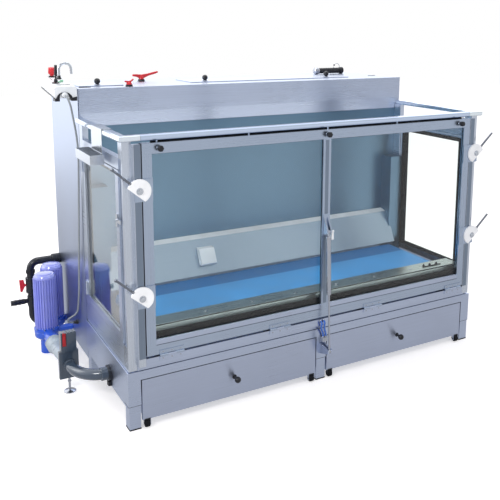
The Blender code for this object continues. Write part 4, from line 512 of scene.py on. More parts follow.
def turned(start, direction, profile, sides=40, hollow=False):
    """Profile holds (distance along the direction, radius) pairs in mm. A radius of 0 closes to a
    point, and a hollow shape closes on itself as a ring."""
    spin = UP.rotation_difference(Vector(direction)).to_matrix().to_4x4()
    place = Matrix.Translation(start) @ spin
    rings = []
    for along, radius in profile:
        ways = spokes(sides, 0.5) if radius > 0 else [(0, 0)]
        points = [Vector((radius * c, radius * s, along)) * MM for c, s in ways]
        rings.append([bench.verts.new(place @ point) for point in points])
    for low, high in zip(rings, rings[1:] + (rings[:1] if hollow else [])):
        for i in range(sides):
            j = (i + 1) % sides
            corners = [low[i % len(low)], low[j % len(low)], high[j % len(high)], high[i % len(high)]]
            bench.faces.new(list(dict.fromkeys(corners)))
    for ring, order in ((rings[0], -1), (rings[-1], 1)):
        if len(ring) > 1 and not hollow:
            bench.faces.new(ring[::order])


def rod(start, end, radius, sides=32, edge=0.0006):
    start, end = Vector(start), Vector(end)
    length = (end - start).length
    edge = min(edge, radius / 3, length / 3)
    profile = [(0, radius - edge), (edge, radius), (length - edge, radius), (length, radius - edge)]
    turned(start, (end - start).normalized(), [(a / MM, r / MM) for a, r in profile], sides)


def ball(centre, radius, sides=28):
    steps = sides // 2
    angles = [pi * i / steps for i in range(steps + 1)]
    reach = [radius / MM * sin(a) if 0 < i < steps else 0 for i, a in enumerate(angles)]
    turned(centre, UP, [(-radius / MM * cos(a), r) for a, r in zip(angles, reach)], sides)


def tube(points, radius, sides=28):
    """A round tube along the points."""
    points = [Vector(p) for p in points]
    runs = [(b - a).normalized() for a, b in zip(points, points[1:])]
    side = runs[0].orthogonal().normalized()
    rings = []
    for i, point in enumerate(points):
        run = (runs[max(i - 1, 0)] + runs[min(i, len(runs) - 1)]).normalized()
        side = (side - run * side.dot(run)).normalized()
        other = run.cross(side)
        ring = [point + (side * c + other * s) * radius for c, s in spokes(sides)]
        rings.append([bench.verts.new(place) for place in ring])
    for low, high in zip(rings, rings[1:]):
        for k in range(sides):
            j = (k + 1) % sides
            bench.faces.new((low[k], low[j], high[j], high[k]))
    bench.faces.new(rings[0][::-1])
    bench.faces.new(rings[-1])


def plate(outline, axis, span, place=None):
    """An outline with a thickness: (y, z) points along x, (x, z) along y, (x, y) along z."""
    order = {"x": (2, 0, 1), "y": (0, 2, 1), "z": (0, 1, 2)}[axis]
    rings = []
    for depth in span:
        rings.append([bench.verts.new([(a, b, depth)[i] for i in order]) for a, b in outline])
    if place is not None:
        bmesh.ops.transform(bench, matrix=place, verts=rings[0] + rings[1])
    sides = [bench.faces.new(rings[0]), bench.faces.new(rings[1])]
    for i in range(len(outline)):
        j = (i + 1) % len(outline)
        sides.append(bench.faces.new((rings[0][i], rings[0][j], rings[1][j], rings[1][i])))
    bmesh.ops.recalc_face_normals(bench, faces=sides)


# %% Routes
def smooth_route(route, spacing):
    """Points on a smooth curve through the route, about this far apart."""
    route = [Vector(p) for p in route]
    ends = [2 * route[0] - route[1], *route, 2 * route[-1] - route[-2]]
    points = []
    for i in range(1, len(ends) - 2):
        a, b, c, d = ends[i - 1:i + 3]
        steps = max(1, round((c - b).length / spacing))
        for k in range(steps):
            t = k / steps
            point = b * 2 + (c - a) * t + (a * 2 - b * 5 + c * 4 - d) * t ** 2
            points.append((point + (b * 3 - a - c * 3 + d) * t ** 3) / 2)
    return points + [route[-1]]


def rounded_route(start, corners, end):
    """Straight runs between the corners, each corner rounded to its own radius."""
    places = [Vector(start)] + [Vector(place) for place, radius in corners] + [Vector(end)]
    points = [places[0]]
    for before, corner, after, (_, radius) in zip(places, places[1:], places[2:], corners):
        run, leave = (corner - before).normalized(), (after - corner).normalized()
        bend = run.angle(leave)
        inward = (leave - run * run.dot(leave)).normalized()
        first = corner - run * radius * tan(bend / 2)
        steps = max(4, ceil(bend / radians(6)))
        for i in range(steps + 1):
            a = bend * i / steps
            points.append(first + run * radius * sin(a) + inward * radius * (1 - cos(a)))
    return points + [places[-1]]


# %% A piece from the bench
made_pieces = []


def piece(name, material, body="treadmill", replaces=None, radius=0.0, smooth=35):
    """Takes what is on the bench as one piece and clears the bench."""
    global bench
    mesh, bench = bench, bmesh.new()
    data = bpy.data.meshes.new(name)
    bmesh.ops.transform(mesh, matrix=Matrix.Translation(CORNER), verts=mesh.verts)
    mesh.to_mesh(data)
    mesh.free()
    data.materials.append(material)
    data.shade_smooth()
    data.set_sharp_from_angle(angle=radians(smooth))
    obj = bpy.data.objects.new(name, data)
    bpy.context.scene.collection.objects.link(obj)
    if radius:
        soften(obj, radius)
    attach(obj, body)
    if replaces:
        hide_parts(replaces)
    made_pieces.append(obj)


# %% [markdown]
# ## Base and drawers
# Each drawer has a black ball on a short black stem, and runs on small rubber wheels in forks. Each
# leg stands on a rubber sole, and a thin line shows where the front legs are joined.

# %% Base and drawers
LENGTH, LEG = 2.070, 0.060
LEG_PLACES = (0.0, (LENGTH - LEG) / 2, LENGTH - LEG)
DRAWERS = {"left": (0.065, 1.000), "right": (1.070, 2.005)}
KNOB_RISE, AXLE_RISE = 0.138, 0.0185
for side, (low, high) in DRAWERS.items():
    drawer, middle = f"drawer_{side}", (low + high) / 2
    turned((middle, -0.0185, KNOB_RISE), FRONT, [(0, 6), (1, 7.2), (4, 7.2), (6, 9)], 24)
    ball((middle, -0.036, KNOB_RISE), 0.0156)
    piece(f"drawer_knob_{side}", black_nylon, drawer)
    profile = [(0, 11), (1.2, 11.5), (3, 8.5), (3.5, 6.8), (19, 6.8)]
    turned((middle, -0.0002, KNOB_RISE), FRONT, profile, 32)
    piece(f"drawer_stem_{side}", black_nylon, drawer)
    for row, y in (("front", 0.007), ("rear", 0.440)):
        wheels = f"{drawer}_{row}_wheels"
        for x in (low + 0.022, high - 0.022):
            profile = [(0, 11), (0.8, 16), (3, 18), (21, 18), (23.2, 16), (24, 11)]
            turned((x - 0.012, y, AXLE_RISE), RIGHT, profile, 36)
            rod((x - 0.015, y, AXLE_RISE), (x + 0.015, y, AXLE_RISE), 0.004, 16)
        piece(f"{drawer}_{row}_tyres", tread, wheels, wheels)
        for x in (low + 0.022, high - 0.022):
            for cheek in (-0.0142, 0.0132):
                box((x + cheek, x + cheek + 0.001), about(y, 0.0085), (0.014, 0.044))
            box(about(x, 0.0142), about(y, 0.0085), (0.038, 0.044))
        piece(f"{drawer}_{row}_forks", black_nylon, drawer, radius=0.0003)
for x in LEG_PLACES:
    for y in (0.0, 0.630):
        box((x + 0.002, x + 0.058), (y + 0.002, y + 0.058), (0.0, 0.006))
piece("foot_soles", rubber, radius=0.0006)
for x in LEG_PLACES:
    box((x - 0.0004, x + 0.0604), (-0.0004, 0.0604), (0.1172, 0.1186))
piece("leg_joint_lines", rubber)

# %% [markdown]
# ## Front door
# Black nylon knobs clamp the top rail, and four white acetal discs with steel handles press the
# door against its seal. The handles are straight rods, and those on the left end in a small ball.
# The solid of each clamp is hidden and a finer one stands for it: a disc with one flat, a bolt with
# its washer, and the handle in steel.

# %% Clamp discs
CLAMPS = {"upper_left": (0.066, 1.122), "lower_left": (0.066, 0.638),
          "upper_right": (2.026, 1.128), "lower_right": (2.026, 0.654)}
CLAMP_FACE = -0.0288
DISC_RADIUS, DISC_TO_FLAT = 0.053, 0.021
FLAT = degrees(acos(DISC_TO_FLAT / DISC_RADIUS))
for side, (x, z) in CLAMPS.items():
    disc = f"clamp_disc_{side}"
    flat_way, rod_way, rod_end = (230, 138, 0.155) if "left" in side else (-50, 42, 0.160)
    outline = arc((x, z), DISC_RADIUS, flat_way + FLAT, flat_way + 360 - FLAT, 56)
    plate(outline, "y", (CLAMP_FACE - 0.012, CLAMP_FACE))
    piece(f"clamp_{side}", white_acetal, disc, disc, radius=0.0015)
    along = Vector((cos(radians(rod_way)), 0, sin(radians(rod_way))))
    hub = Vector((x, CLAMP_FACE - 0.006, z))
    rod(hub + along * 0.030, hub + along * rod_end, 0.0055, 24)
    if "left" in side:
        ball(hub + along * rod_end, 0.008, 20)
    rod(hub + along * 0.051, hub + along * 0.058, 0.007, 24)
    piece(f"clamp_handle_{side}", steel_dull, disc)
    profile = [(0, 16), (1.2, 16), (1.4, 10.5), (6, 10), (6.6, 9)]
    turned((x, CLAMP_FACE - 0.012, z), FRONT, profile, 32)
    piece(f"clamp_bolt_{side}", steel_bright, "front_door")

# %% Clamp knobs
KNOBS = {"left": 0.163, "middle": 1.036, "right": 1.909}
RAIL_FACE, KNOB_Z = -0.023, 1.301
LOBES, STEPS = 6, 60
for side, x in KNOBS.items():
    knob = f"clamp_knob_{side}"
    for low, high, share in ((0.010, 0.012, 0.86), (0.012, 0.026, 1.0), (0.026, 0.029, 0.84)):
        outline = []
        for i in range(STEPS):
            a = 2 * pi * i / STEPS
            reach = 0.0140 * share * (1 - 0.10 * (0.5 - 0.5 * cos(LOBES * a)))
            outline.append((x + reach * cos(a), KNOB_Z + reach * sin(a)))
        plate(outline, "y", (RAIL_FACE - high, RAIL_FACE - low))
    piece(f"clamp_grip_{side}", black_nylon, knob, knob, radius=0.0008)
    profile = [(0, 10), (1.5, 10.5), (3, 10), (3.2, 5.2), (12, 5.2)]
    turned((x, RAIL_FACE - 0.0002, KNOB_Z), FRONT, profile, 28)
    piece(f"clamp_stem_{side}", steel_round, knob)
print(len(made_pieces), "pieces so far")

# %% [markdown]
# ## Gas strut
# The strut that slows the door has a polished tube and a thin bright rod, each with an eye. It is
# turned work, so both pieces are turned profiles between the two eyes. A white tag hangs by its head.

# %% Gas strut
HEAD, FOOT = Vector((1.035, -0.048, 0.812)), Vector((1.035, -0.075, 0.184))
way = (FOOT - HEAD).normalized()
rod(HEAD + LEFT * 0.0055, HEAD + RIGHT * 0.0055, 0.010, 36)
rod(HEAD + way * 0.004, HEAD + way * 0.026, 0.0052, 28)
profile = [(0, 7.5), (4, 12), (296, 12), (299, 11.3), (302, 12), (305, 10.5)]
turned(HEAD + way * 0.022, way, profile, 40)
piece("strut_cylinder", steel_round, "strut_tube", "strut_tube")
rod(HEAD + way * 0.310, FOOT - way * 0.006, 0.005, 28)
rod(FOOT - way * 0.034, FOOT - way * 0.026, 0.0068, 6)
rod(FOOT + LEFT * 0.0055, FOOT + RIGHT * 0.0055, 0.010, 36)
piece("strut_piston_rod", steel_round, "strut_rod", "strut_rod")
box((1.0535, 1.0665), (-0.0492, -0.0468), (0.768, 0.806))
turned((1.0502, -0.048, 0.812), RIGHT, [(0, 6.2), (4, 6.2), (16, 5.4), (17, 4.4)], 20)
piece("strut_tag", white_acetal, "front_door", radius=0.0005)

# %% [markdown]
# ## Seals, painted shade and screws
# Each front pane lies in a black rubber profile that shows as a dark line round it. On the end doors
# the black band round the panes is the seal drawn broad, as painted shade of the frame's inner side,
# and a black strip down the rear stile is painted shade too. A steel bead holds the front panes from
# below, and darker flats on the posts and the mullion are painted shade. The hinges are screwed on,
# three screws a leaf.

# %% Seals and painted shade
def strips(axis, depth, low, high, width):
    """Four strips round a window from corner low to corner high. Depth is the span along the axis."""
    (a0, z0), (a1, z1) = low, high
    inner = (z0 + width, z1 - width)
    for across, tall in (((a0, a1), (z0, z0 + width)), ((a0, a1), (z1 - width, z1)),
                         ((a0, a0 + width), inner), ((a1 - width, a1), inner)):
        if axis == "y":
            box(across, depth, tall)
        else:
            box(depth, across, tall)


PANES = {"left": (0.130, 1.0135), "right": (1.0585, 1.942)}
for side, (low, high) in PANES.items():
    strips("y", (-0.0128, -0.013), (low - 0.0002, 0.3998), (high + 0.0002, 1.2772), 0.003)
    piece(f"front_seal_{side}", rubber, "front_door")
for side, face, inward in (("left", 0.0, 1), ("right", LENGTH, -1)):
    depth = tuple(sorted((face + inward * 0.0226, face + inward * 0.0276)))
    # The end seal is drawn 23 mm broad to paint the shade on the frame's inner side.
    strips("x", depth, (0.098, 0.4355), (0.623, 1.1935), 0.023)
    # A black strip down the rear stile is painted shade.
    box(depth, (0.566, 0.601), (0.458, 1.171))
    piece(f"end_seal_and_shade_{side}", rubber, f"end_door_{side}", radius=0.001)
# A black strip fills the gap under the rim, and two more fill the gaps beside the door.
box((0.131, 1.941), (-0.0015, 0.0005), (1.3252, 1.3338))
piece("rim_gap_black_strip", rubber, "front_door")
for x in ((0.0803, 0.0847), (1.9875, 1.9915)):
    box(x, (-0.006, -0.001), (0.348, 1.324))
piece("door_gap_black_strips", rubber)

# %% Glazing beads and painted-shade flats
for low, high in PANES.values():
    box((low - 0.0004, high + 0.0004), (-0.0229, -0.0132), (0.4019, 0.426))
piece("glazing_beads", steel_along, "front_door", radius=0.0008)
# A darker flat down the mullion is painted shade.
box((1.0262, 1.0458), (-0.0236, -0.0229), (0.430, 1.273))
piece("mullion_painted_shade_flat", steel_shade_flat, "front_door", radius=0.0003)
# Darker flats on the posts' fronts are painted shade.
post_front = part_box("post_left")[0].y - CORNER.y
for x in ((0.049, 0.0795), (1.9925, 2.019)):
    box(x, (post_front - 0.0008, post_front + 0.0006), (0.348, 1.324))
piece("post_painted_shade_flats", steel_shade_flat, radius=0.0003)

# %% Hinge screws
HINGE_LINE, LEAF_FACE = 0.350, -0.0263
for body, rise in (("front_door", 0.0155), ("treadmill", -0.0155)):
    for i in range(4):
        for j in (-1, 0, 1):
            place = (0.2025 + 0.5697 * i + 0.042 * j, LEAF_FACE + 0.0004, HINGE_LINE + rise)
            turned(place, FRONT, [(0, 3.6), (0.8, 3.6), (1.3, 2.6)], 16)
    piece(f"hinge_screws_{body}", steel_round, body)

# %% [markdown]
# ## Running gear
# The front rail has a cover with screws and round washers on its top, and near its right end the
# three hexagon bolts that tension the belt. Below it a black strip is partly a rubber seal and partly
# painted shade of the gap.
# A white strip on the slanted guard's sloping top flange behind the belt is a painted highlight.

# %% Running gear
RAIL = (0.064, 2.006)
for x in (1.790, 1.835, 1.885):
    turned((x, 0.090, 0.4662), UP, [(0, 11), (1.5, 11), (1.6, 7.5), (7.5, 7)], 6)
    rod((x, 0.090, 0.470), (x, 0.090, 0.480), 0.0038, 20)
box((1.770, 1.905), (0.0745, 0.0785), (0.4662, 0.472))
piece("belt_tension_bolts", black_nylon, radius=0.0005)
box(RAIL, (0.046, 0.142), (0.46615, 0.46735))
box(RAIL, (0.045, 0.0462), (0.437, 0.461))
piece("rail_cover", steel_green, radius=0.0004)
# Black strips under the rail: partly a seal, partly painted shade of the gap.
box(RAIL, (0.0455, 0.0475), (0.370, 0.4365))
box(RAIL, (0.047, 0.048), (0.4365, 0.4665))
piece("rail_seal_and_shade", rubber, radius=0.0004)
# A white skin on the guard's sloping top flange is a painted highlight of its lit top.
edge = [(0.6495, 0.6484), (0.6958, 0.6602), (0.6958, 0.6614), (0.6493, 0.6496)]
plate(edge, "x", (0.111, 1.959))
piece("guard_flange_painted_highlight", white_abs, radius=0.0003)
for i in range(6):
    x = 0.42 + 0.253 * i
    turned((x, 0.088, 0.46735), UP, [(0, 11.5), (1.4, 11.5)], 28)
    turned((x, 0.088, 0.470), UP, [(0, 3), (3, 3), (4, 2)], 20)
piece("rail_washers", steel_round)

# %% [markdown]
# ## Deck
# Two lids close the water cabinet. Three black balls lift them: one on the short lid, two on the
# long one. Red nylon handles turn the valves below the deck, and the hand shower lies at the right:
# a bright collar, a ribbed black grip and a wire loop with a small ball to pull its valve.

# %% Lids
DECK = 1.503
BALLS = {"left": ("left", 0.170, 0.920), "middle": ("right", 0.812, 0.940),
         "right": ("right", 1.660, 0.940)}
for side, (lid, x, y) in BALLS.items():
    ball((x, y, DECK + 0.0213), 0.0165)
    piece(f"lid_ball_{side}", black_nylon, f"reservoir_lid_{lid}")
    turned((x, y, DECK + 0.0045), UP, [(0, 15), (1.4, 15), (3, 8.5), (7.5, 7)], 32)
    piece(f"lid_stem_{side}", steel_round, f"reservoir_lid_{lid}")


# %% Valve handles
def wing(name, x, y, left_arm, right_arm, tall, turn, node):
    """A cast handle with two arms, thicker at the hub and thinner at the tips. Its outline is given
    in shares of an arm and of the height."""
    low = DECK + 0.012
    outline = [(-left_arm * a, b) for a, b in ((1, 0.62), (0.93, 0.86), (0.55, 0.84))] + [(0, 0.76)]
    for a, b in ((0.35, 0.90), (0.70, 1.16), (0.93, 1.32), (1, 1.24), (0.985, 1.02), (0.80, 0.80),
                 (0.42, 0.48)):
        outline.append((right_arm * a, b))
    outline += [(0.012, 0.02), (-0.012, 0.02), (-left_arm * 0.55, 0.32), (-left_arm * 0.96, 0.46)]
    place = Matrix.Translation((x, y, low + 0.004)) @ Matrix.Rotation(radians(turn), 4, "Z")
    plate([(a, b * tall) for a, b in outline], "y", about(0, 0.0062), place)
    piece(name, red_nylon, node, node, radius=0.0022)
    height = tall / MM
    profile = [(0, 15), (6, 14.6), (height * 0.45, 12), (height * 0.62, 10.5), (height * 0.70, 8)]
    turned((x, y, low + 0.0004), UP, profile, 36)
    piece(f"{name}_hub", red_nylon, node)
    turned((x, y, DECK + 0.0002), UP, [(0, 24), (2, 24), (2.6, 18.6), (11.8, 18.4)], 40)
    piece(f"{name}_boss", black_nylon)


wing("wing_handle", 0.480, 1.100, 0.055, 0.105, 0.030, 4, "wing_valve_handle")
wing("small_handle", 0.290, 0.745, 0.024, 0.024, 0.020, 0, "small_valve_handle")

# %% Hand shower
SX, SY, SZ = 1.735, 1.200, DECK + 0.0227
profile = [(34, 15)]
for i in range(9):
    rib = 38 + 18.2 * i
    profile += [(rib, 16.3), (rib + 2, 19), (rib + 10.5, 19), (rib + 12.5, 16.3)]
profile += [(204, 15.5), (207.5, 22.4), (228.5, 22.4), (230, 21)]
turned((SX, SY, SZ), RIGHT, profile, 40)
piece("shower_grip", black_nylon, replaces="hand_shower")
profile = [(0, 15), (1, 16.5), (7, 21.8), (10, 22.4), (30, 22.4), (34, 20.5), (36, 16)]
turned((SX, SY, SZ), RIGHT, profile, 40)
piece("shower_collar", steel_round)
bail_x, bail_z = SX + 0.184, SZ + 0.0235
tube([(a, SY, b) for a, b in arc((bail_x, bail_z), 0.024, -30, 210, 28)], 0.0018, 12)
piece("shower_bail", steel_round)
ball((bail_x - 0.020, SY, bail_z + 0.0135), 0.0058, 20)
piece("shower_bail_ball", black_nylon)
for x, y in (((0.040, 0.100), (0.792, 0.806)), ((1.985, 2.035), (0.915, 0.929))):
    box(x, y, (DECK + 0.0002, DECK + 0.0022))
piece("deck_slots", rubber, radius=0.0005)

# %% [markdown]
# ## Console
# The console is a long white ABS case on a steel tube, tilted a little towards whoever stands at the
# tank's end. It carries the emergency stop, the lever, the green start button and a window, and a
# hook of bent tube for the hand shower. A black arch holds it on the tube.

# %% Console case
CASE_X, CASE_TOP = -0.0755, 0.058
CASE = Matrix.Translation((CASE_X, 0.600, 1.471)) @ Matrix.Rotation(radians(6.5), 4, "X")
case_up = (CASE.to_3x3() @ UP).normalized()


def on_case(x, back, rise=CASE_TOP):
    """A place on the console: x as drawn, the distance back from its front, and the height."""
    return CASE @ Vector((x - CASE_X, back, rise))


half = 0.0535
rounded = [(-half, 0.006), (-half, 0.044)] + arc((-half + 0.014, 0.044), 0.014, 180, 90, 6)
rounded += arc((half - 0.014, 0.044), 0.014, 90, 0, 6) + [(half, 0.006)]
rounded += arc((half - 0.006, 0.006), 0.006, 0, -90, 3)
rounded += arc((-half + 0.006, 0.006), 0.006, 270, 180, 3)
plate(rounded, "y", (0.0, 0.300), CASE)
piece("console_case", white_abs, "console", "control_console", radius=0.0025)
ARM_X = -0.083
outline = [(-0.129, 1.457), (-0.129, 1.470)] + arc((ARM_X, 1.462), 0.040, 165, 15, 18)
outline += [(-0.022, 1.478), (-0.022, 1.457), (-0.050, 1.457)]
outline += arc((ARM_X, 1.478), 0.0225, 0, 180, 18) + [(-0.1055, 1.457)]
plate(outline, "y", (0.594, 0.640))
piece("console_arch", black_nylon, "console", radius=0.0015)
box((-half - 0.0008, -half + 0.010), (0.012, 0.292), (-0.0035, 0.0055), CASE)
box((half - 0.012, half + 0.0008), (0.002, 0.052), (0.002, 0.040), CASE)
piece("console_rails", black_nylon, "console", radius=0.0015)
box((-0.0295, 0.0315), (0.036, 0.052), (0.0578, 0.059), CASE)
box((-0.026, -0.0235), (0.180, 0.286), (0.0578, 0.0588), CASE)
piece("console_window", smoked, "console", radius=0.0004)
foot = on_case(-0.0595, 0.202, 0.054)
hook = arc((foot.x + 0.031, foot.z + 0.053), 0.031, 165, 0, 20)
route = [foot, foot + UP * 0.052] + [(a, foot.y, b) for a, b in hook]
route.append((foot.x + 0.0625, foot.y, foot.z + 0.028))
tube(route, 0.0075, 28)
piece("console_hook", steel_bright, "console")
turned(on_case(-0.0595, 0.202, 0.0575), UP, [(0, 12.5), (4, 12), (10, 9), (18, 8)], 32)
piece("console_hook_foot", black_nylon, "console")

# %% Console controls
profile = [(6.6, 10), (11.5, 10.5), (15, 16), (20, 18.5), (42, 18.5), (47, 16.5), (49.5, 12)]
turned(on_case(-0.081, 0.266), case_up, profile + [(50.2, 0)], 40)
piece("stop_mushroom", red_nylon, "emergency_stop", "emergency_stop")
profile = [(0, 11.2), (0, 16.5), (4, 16), (5.5, 14), (5.5, 11.2)]
turned(on_case(-0.081, 0.266, 0.0575), case_up, profile, 40, hollow=True)
piece("stop_collar", black_nylon, "console")
gaiter = [(5.6, 6.2), (7, 10.4), (7.8, 11), (8.8, 10), (10, 10.6), (11.4, 9), (13, 9.6), (15, 7.8)]
stick = [(17.2, 8.4), (20, 6.2), (22, 5), (36, 4.6), (37.5, 7), (40, 7.8), (86, 7.2), (89, 6)]
turned(on_case(-0.100, 0.096), case_up, gaiter + stick + [(90, 0)], 32)
piece("lever_stick", black_nylon, "speed_lever", "speed_lever")
profile = [(0, 20), (1.5, 20), (2.2, 16.5), (3.2, 16), (3.4, 10)]
turned(on_case(-0.100, 0.096, 0.0575), case_up, profile, 36)
ball(on_case(-0.100, 0.096, 0.0578), 0.0052, 20)
piece("lever_collar", black_nylon, "console")
profile = [(4.6, 7.4), (5.2, 8), (7.2, 7.6), (8.2, 6), (8.5, 0)]
turned(on_case(-0.065, 0.122), case_up, profile, 32)
piece("start_cap", green_cap, "start_button", "start_button")
outline = arc((0.0055, 0.122), 0.0125, 90, -90, 12) + arc((-0.0005, 0.122), 0.0125, 270, 90, 12)
plate(outline, "z", (0.0576, 0.0592), CASE)
piece("start_bezel", green_cap, "console", radius=0.0004)
print("console built")

# %% [markdown]
# ## Pumps
# Each pump is an upright electric motor in a finned aluminium case, enamelled lilac blue, on a cast
# volute. The fins shed heat. They are made as one star-shaped outline pushed up, which is what the
# extruded case of a real motor is. The round cowl on top covers the fan.

# %% Pumps
PUMPS = {"front": (-0.138, 1.030, 0.462), "rear": (-0.068, 1.175, 0.464)}
MOTOR_TALL, VOLUTE_TALL, PORT_RISE = 0.315, 0.062, 0.034
FINS = 26
FIN_SHAPE = ((-0.24, 0.0515), (-0.13, 0.0618), (0.13, 0.0618), (0.24, 0.0515))
COWL = [(-6, 57), (0, 58.5), (6, 57.5), (12, 52.8), (17.5, 50.5), (18.5, 46), (17.8, 41),
        (21.5, 39.5), (23.5, 34), (24, 0)]
VOLUTE = [(0, 48), (6, 55), (12, 63), (20, 66.5), (44, 66.8), (48, 64), (50, 64), (51.5, 68),
          (60, 68), (62.5, 60), (70, 56)]
for side, (x, y, top) in PUMPS.items():
    low, fins_top = top - MOTOR_TALL, top - 0.022
    volute = low - VOLUTE_TALL
    port = volute + PORT_RISE
    outline = []
    for i in range(FINS):
        for share, reach in FIN_SHAPE:
            a = 2 * pi * (i + share) / FINS
            outline.append((x + reach * cos(a), y + reach * sin(a)))
    plate(outline, "z", (low + 0.004, fins_top - 0.004))
    piece(f"motor_fins_{side}", blue_enamel, replaces=f"pump_{side}", radius=0.0006, smooth=28)
    turned((x, y, fins_top), UP, COWL, 56)
    piece(f"motor_cowl_{side}", blue_enamel)
    turned((x, y, volute), UP, VOLUTE, 56)
    rod((x, y, 0.006), (x, y, volute + 0.010), 0.036, 40)
    turned((x, y, 0.0), UP, [(0, 36), (6, 36)], 40)
    rod((x, y, port), (0.0057, y, port), 0.020, 32)
    if side == "front":
        rod((x, y, port), (x, 0.8553, port), 0.033, 40)
        rod((x, 0.870, port), (x, 0.8553, port), 0.046, 48)
    piece(f"pump_volute_{side}", blue_cast)
    for c, s in spokes(8, 0.5):
        turned((x + 0.0625 * c, y + 0.0625 * s, volute + 0.060), UP, [(0, 4.8), (4.5, 4.6)], 6)
    piece(f"pump_bolts_{side}", steel_round)

# %% [markdown]
# ## Pipes and valves
# The slide valve between the front pump and the tank is slate grey PVC. Its bend is moulded, so it
# is a smooth swept tube with a thicker socket at each end. The black pipe behind it has screwed
# unions, whose nuts carry ribs for a strap wrench.

# %% Slide valve and bend
VX, VY, VZ = -0.142, 0.511, 0.147
VALVE_HALF = 0.073
valve, crown = (Matrix.Translation((VX, VY, VZ + rise)) for rise in (0, VALVE_HALF))
box(about(0, 0.0485), about(0, 0.011), about(0, VALVE_HALF), valve)
piece("slide_valve_plate", slate_pipe, replaces="gate_valve", radius=0.0025)
box((-0.038, -0.0305), about(0, 0.020), (-0.003, 0.096), crown)
box((-0.0115, 0.038), about(0, 0.020), (-0.003, 0.096), crown)
box((-0.0308, -0.0112), (-0.0055, 0.020), (-0.003, 0.096), crown)
box((-0.0308, -0.0112), (-0.020, -0.005), (-0.003, 0.0295), crown)
piece("slide_valve_house", slate_pipe, radius=0.0012)
for i in range(5):
    low = -0.037 + 0.016 * i
    box((low, low + 0.0105), about(0, 0.0185), (0.0955, 0.100), crown)
piece("slide_valve_crown", slate_pipe, radius=0.0012)
box((-0.0297, -0.0123), (-0.0205, -0.0063), (0.0303, 0.098), crown)
box((-0.0265, -0.0155), (-0.028, -0.020), (0.038, 0.090), crown)
piece("slide_valve_grip", dark_red, "gate_valve_handle", "gate_valve_handle", radius=0.0016)
route = [(VX, VY + 0.009, VZ), (VX, VY + 0.061, VZ), (-0.138, 0.7747, 0.119), (-0.138, 0.8447, 0.119)]
tube(smooth_route(route, 0.016), 0.033, 40)
profile = [(0, 45.5), (1.5, 46), (8, 46), (9, 43.5), (40, 43.5), (41, 46), (45, 46), (65, 33.2)]
turned((-0.138, 0.8547, 0.119), FRONT, profile, 48)
turned((VX, VY + 0.0105, VZ), BACK, [(0, 43), (20, 43), (24, 33.5)], 48)
piece("pump_union", pale_union)
rod((VX, VY, 0.006), (VX, VY, VZ - 0.072), 0.006, 28)
turned((VX, VY, 0), UP, [(0, 30), (3, 30), (4.2, 28.5), (8, 10.5), (11, 6.6)], 44)
turned((VX, VY, 0.052), UP, [(0, 9.8), (7, 9.8)], 6)
piece("valve_foot", steel_round)
front, end_y, end_z = VY - 0.0113, 0.284, 0.166
start, steps = front - 0.018, 24
route = [(VX, front, VZ), (VX, start, VZ)]
for i in range(1, steps):
    a = radians(90 * i / steps)
    rise = (end_z - VZ) * i / steps
    route.append((VX * cos(a), start - (start - end_y) * sin(a), VZ + rise))
route.append((-0.0098, end_y, end_z))
tube(route, 0.0275, 44)
turned((VX, front, VZ), FRONT, [(0, 31.8), (15, 31.8), (16.2, 30), (17, 27.8)], 44)
turned((-0.014, end_y, end_z), LEFT, [(0, 31.8), (30, 31.8), (31.2, 30), (32, 27.8)], 44)
piece("grey_bend", slate_pipe, replaces="bend_pipe")
turned((-0.0003, end_y, end_z), LEFT, [(0, 38), (12, 38), (13.7, 36.5)], 48)
piece("bend_flange", black_pipe)
box((-0.012, -0.0003), (end_y - 0.016, end_y + 0.014), (end_z - 0.064, end_z - 0.040))
clip_y, clip_z = end_y - 0.001, end_z - 0.052
rod((-0.013, clip_y, clip_z), (-0.0003, clip_y, clip_z), 0.013, 28)
piece("bend_clip", black_nylon, radius=0.0012)

# %% Header pipe
HX, HY, HTOP = -0.168, 1.262, 0.462
rear_x, rear_y, rear_top = PUMPS["rear"]
port = rear_top - MOTOR_TALL - VOLUTE_TALL + PORT_RISE - 0.018
bend = arc((HX + 0.045, HTOP - 0.045), 0.045, 90, 180, 14)
route = [(0.0017, HY, HTOP)] + [(a, HY, b) for a, b in bend]
corner, target = Vector((HX, HY)), Vector((rear_x, rear_y))
run = (target - corner).normalized()
for out, rise in arc((0.045, 0.045), 0.045, 180, 270, 14):
    route.append((HX + run.x * out, HY + run.y * out, port + rise))
end = target - run * 0.069
route.append((end.x, end.y, port))
tube(route, 0.0215, 36)
turned((0.0057, HY, HTOP), LEFT, [(0, 29), (48, 29), (50, 27)], 36)
turned((HX, HY, 0.282), UP, [(0, 27), (4, 30), (84, 30), (88, 27)], 40)
turned((HX, HY, 0.198), UP, [(0, 25), (2, 25.8), (58, 25.8), (60, 25)], 36)
profile = [(0, 13.6), (39, 13.6)]
for i in range(3):
    rib = 42.5 + 23.6 * i
    profile += [(rib, 17), (rib + 20, 15)]
profile += [(113, 15), (114, 17), (118, 16.8)]
turned((HX, HY, 0.228), LEFT, profile, 32)
piece("header_pipe_run", black_pipe, replaces="header_pipe")
for low, reach in ((0.2785, 0.0285), (0.3515, 0.0285), (0.396, 0.0235)):
    for c, s in spokes(14):
        rib = Vector((HX + reach * c, HY + reach * s, low))
        rod(rib, rib + UP * 0.018, 0.0026, 10, 0.0004)
turned((HX, HY, 0.3955), UP, [(0, 24), (19, 24)], 32)
piece("header_union_nuts", black_nylon)
face, stem_z = HX - 0.030, 0.326
paddle = [(-0.037, -0.032), (-0.037, -0.022), (-0.006, -0.006), (0.008, -0.006), (0.034, -0.012),
          (0.036, -0.036), (0.028, -0.036)]
plate([(face + out, stem_z + rise) for rise, out in paddle], "y", about(HY, 0.007))
rod((face + 0.012, HY, stem_z), (face - 0.016, HY, stem_z), 0.007, 28)
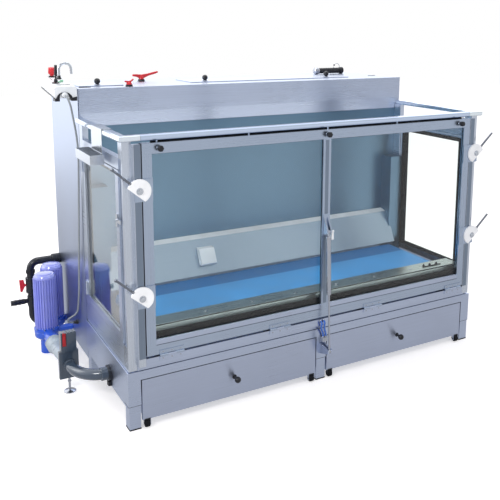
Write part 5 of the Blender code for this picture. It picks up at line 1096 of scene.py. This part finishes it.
piece("ball_valve_paddle", red_nylon, "ball_valve_handle", "ball_valve_handle", radius=0.0016)
print("pipes built")

# %% [markdown]
# ## Cable and hoses
# One grey cable comes out of the console's tube and hangs down to the cabinet's side, where it goes
# in beside the pumps. A cable has no kinks: it hangs straight and bends no tighter than about four
# of its own diameters, so it is drawn as straight runs with rounded corners. Each corner has its
# place and its radius. Two blue hoses leave the sill above the middle leg.

# %% Cable
CABLE_START, CABLE_END, CABLE_WIDTH = (-0.083, 0.5887, 1.485), (0.0057, 0.910, 0.189), 0.0096
CABLE_CORNERS = [
    ((-0.0830, 0.5093, 1.4850), 0.040),
    ((-0.0102, 0.6585, 1.2306), 0.537),
    ((-0.0066, 0.7038, 1.0033), 0.712),
    ((-0.0066, 0.7916, 0.3997), 0.299),
    ((-0.0066, 0.8441, 0.2642), 0.077),
    ((-0.1123, 0.9100, 0.1890), 0.040),
]
line_points = rounded_route(CABLE_START, CABLE_CORNERS, CABLE_END)
curve = bpy.data.curves.new("console_cable", "CURVE")
curve.dimensions = "3D"
curve.bevel_depth = CABLE_WIDTH / 2
curve.bevel_resolution = 4
curve.use_fill_caps = True
line = curve.splines.new("POLY")
line.points.add(len(line_points) - 1)
for place, point in zip(line.points, line_points):
    place.co = (*(point + CORNER), 1.0)
curve.materials.append(cable_skin)
cable = bpy.data.objects.new("console_cable", curve)
bpy.context.scene.collection.objects.link(cable)
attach(cable, "treadmill")
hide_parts("pump_cable")
turned(CABLE_END, LEFT, [(0, 12), (9, 12), (9.4, 10), (15, 8.2), (22, 5.6)], 28)
piece("cable_gland", black_nylon)
profile = [(0, 15.8), (4, 15.8), (4.6, 13), (8, 10), (22.5, 8.5)]
turned((ARM_X, 0.5935, 1.488), FRONT, profile, 36)
piece("arm_end_cap", white_abs)

# %% Blue hoses
HOSES = ((1.012, 1.038), (1.030, 1.054))
for top, foot in HOSES:
    route = [(top, -0.0233, 0.335), (top, -0.0313, 0.335), (top, -0.037, 0.325),
             (top + 0.004, -0.028, 0.295), (foot - 0.002, -0.014, 0.256), (foot, -0.010, 0.232)]
    tube(smooth_route(route, 0.006), 0.005, 20)
piece("blue_hose_pair", blue_tube, replaces="sill_hoses")
for top, foot in HOSES:
    turned((top, -0.0233, 0.335), FRONT, [(0, 8), (5, 8), (6, 6.6)], 6)
    turned((foot, -0.010, 0.2358), UP, [(0, 7.4), (6, 7.4), (7, 6)], 24)
box((1.030, 1.062), (-0.020, -0.0003), (0.214, 0.236))
piece("hose_fittings", steel_round, radius=0.0006)

# %% Count and end
print(len(made_pieces), "pieces made")
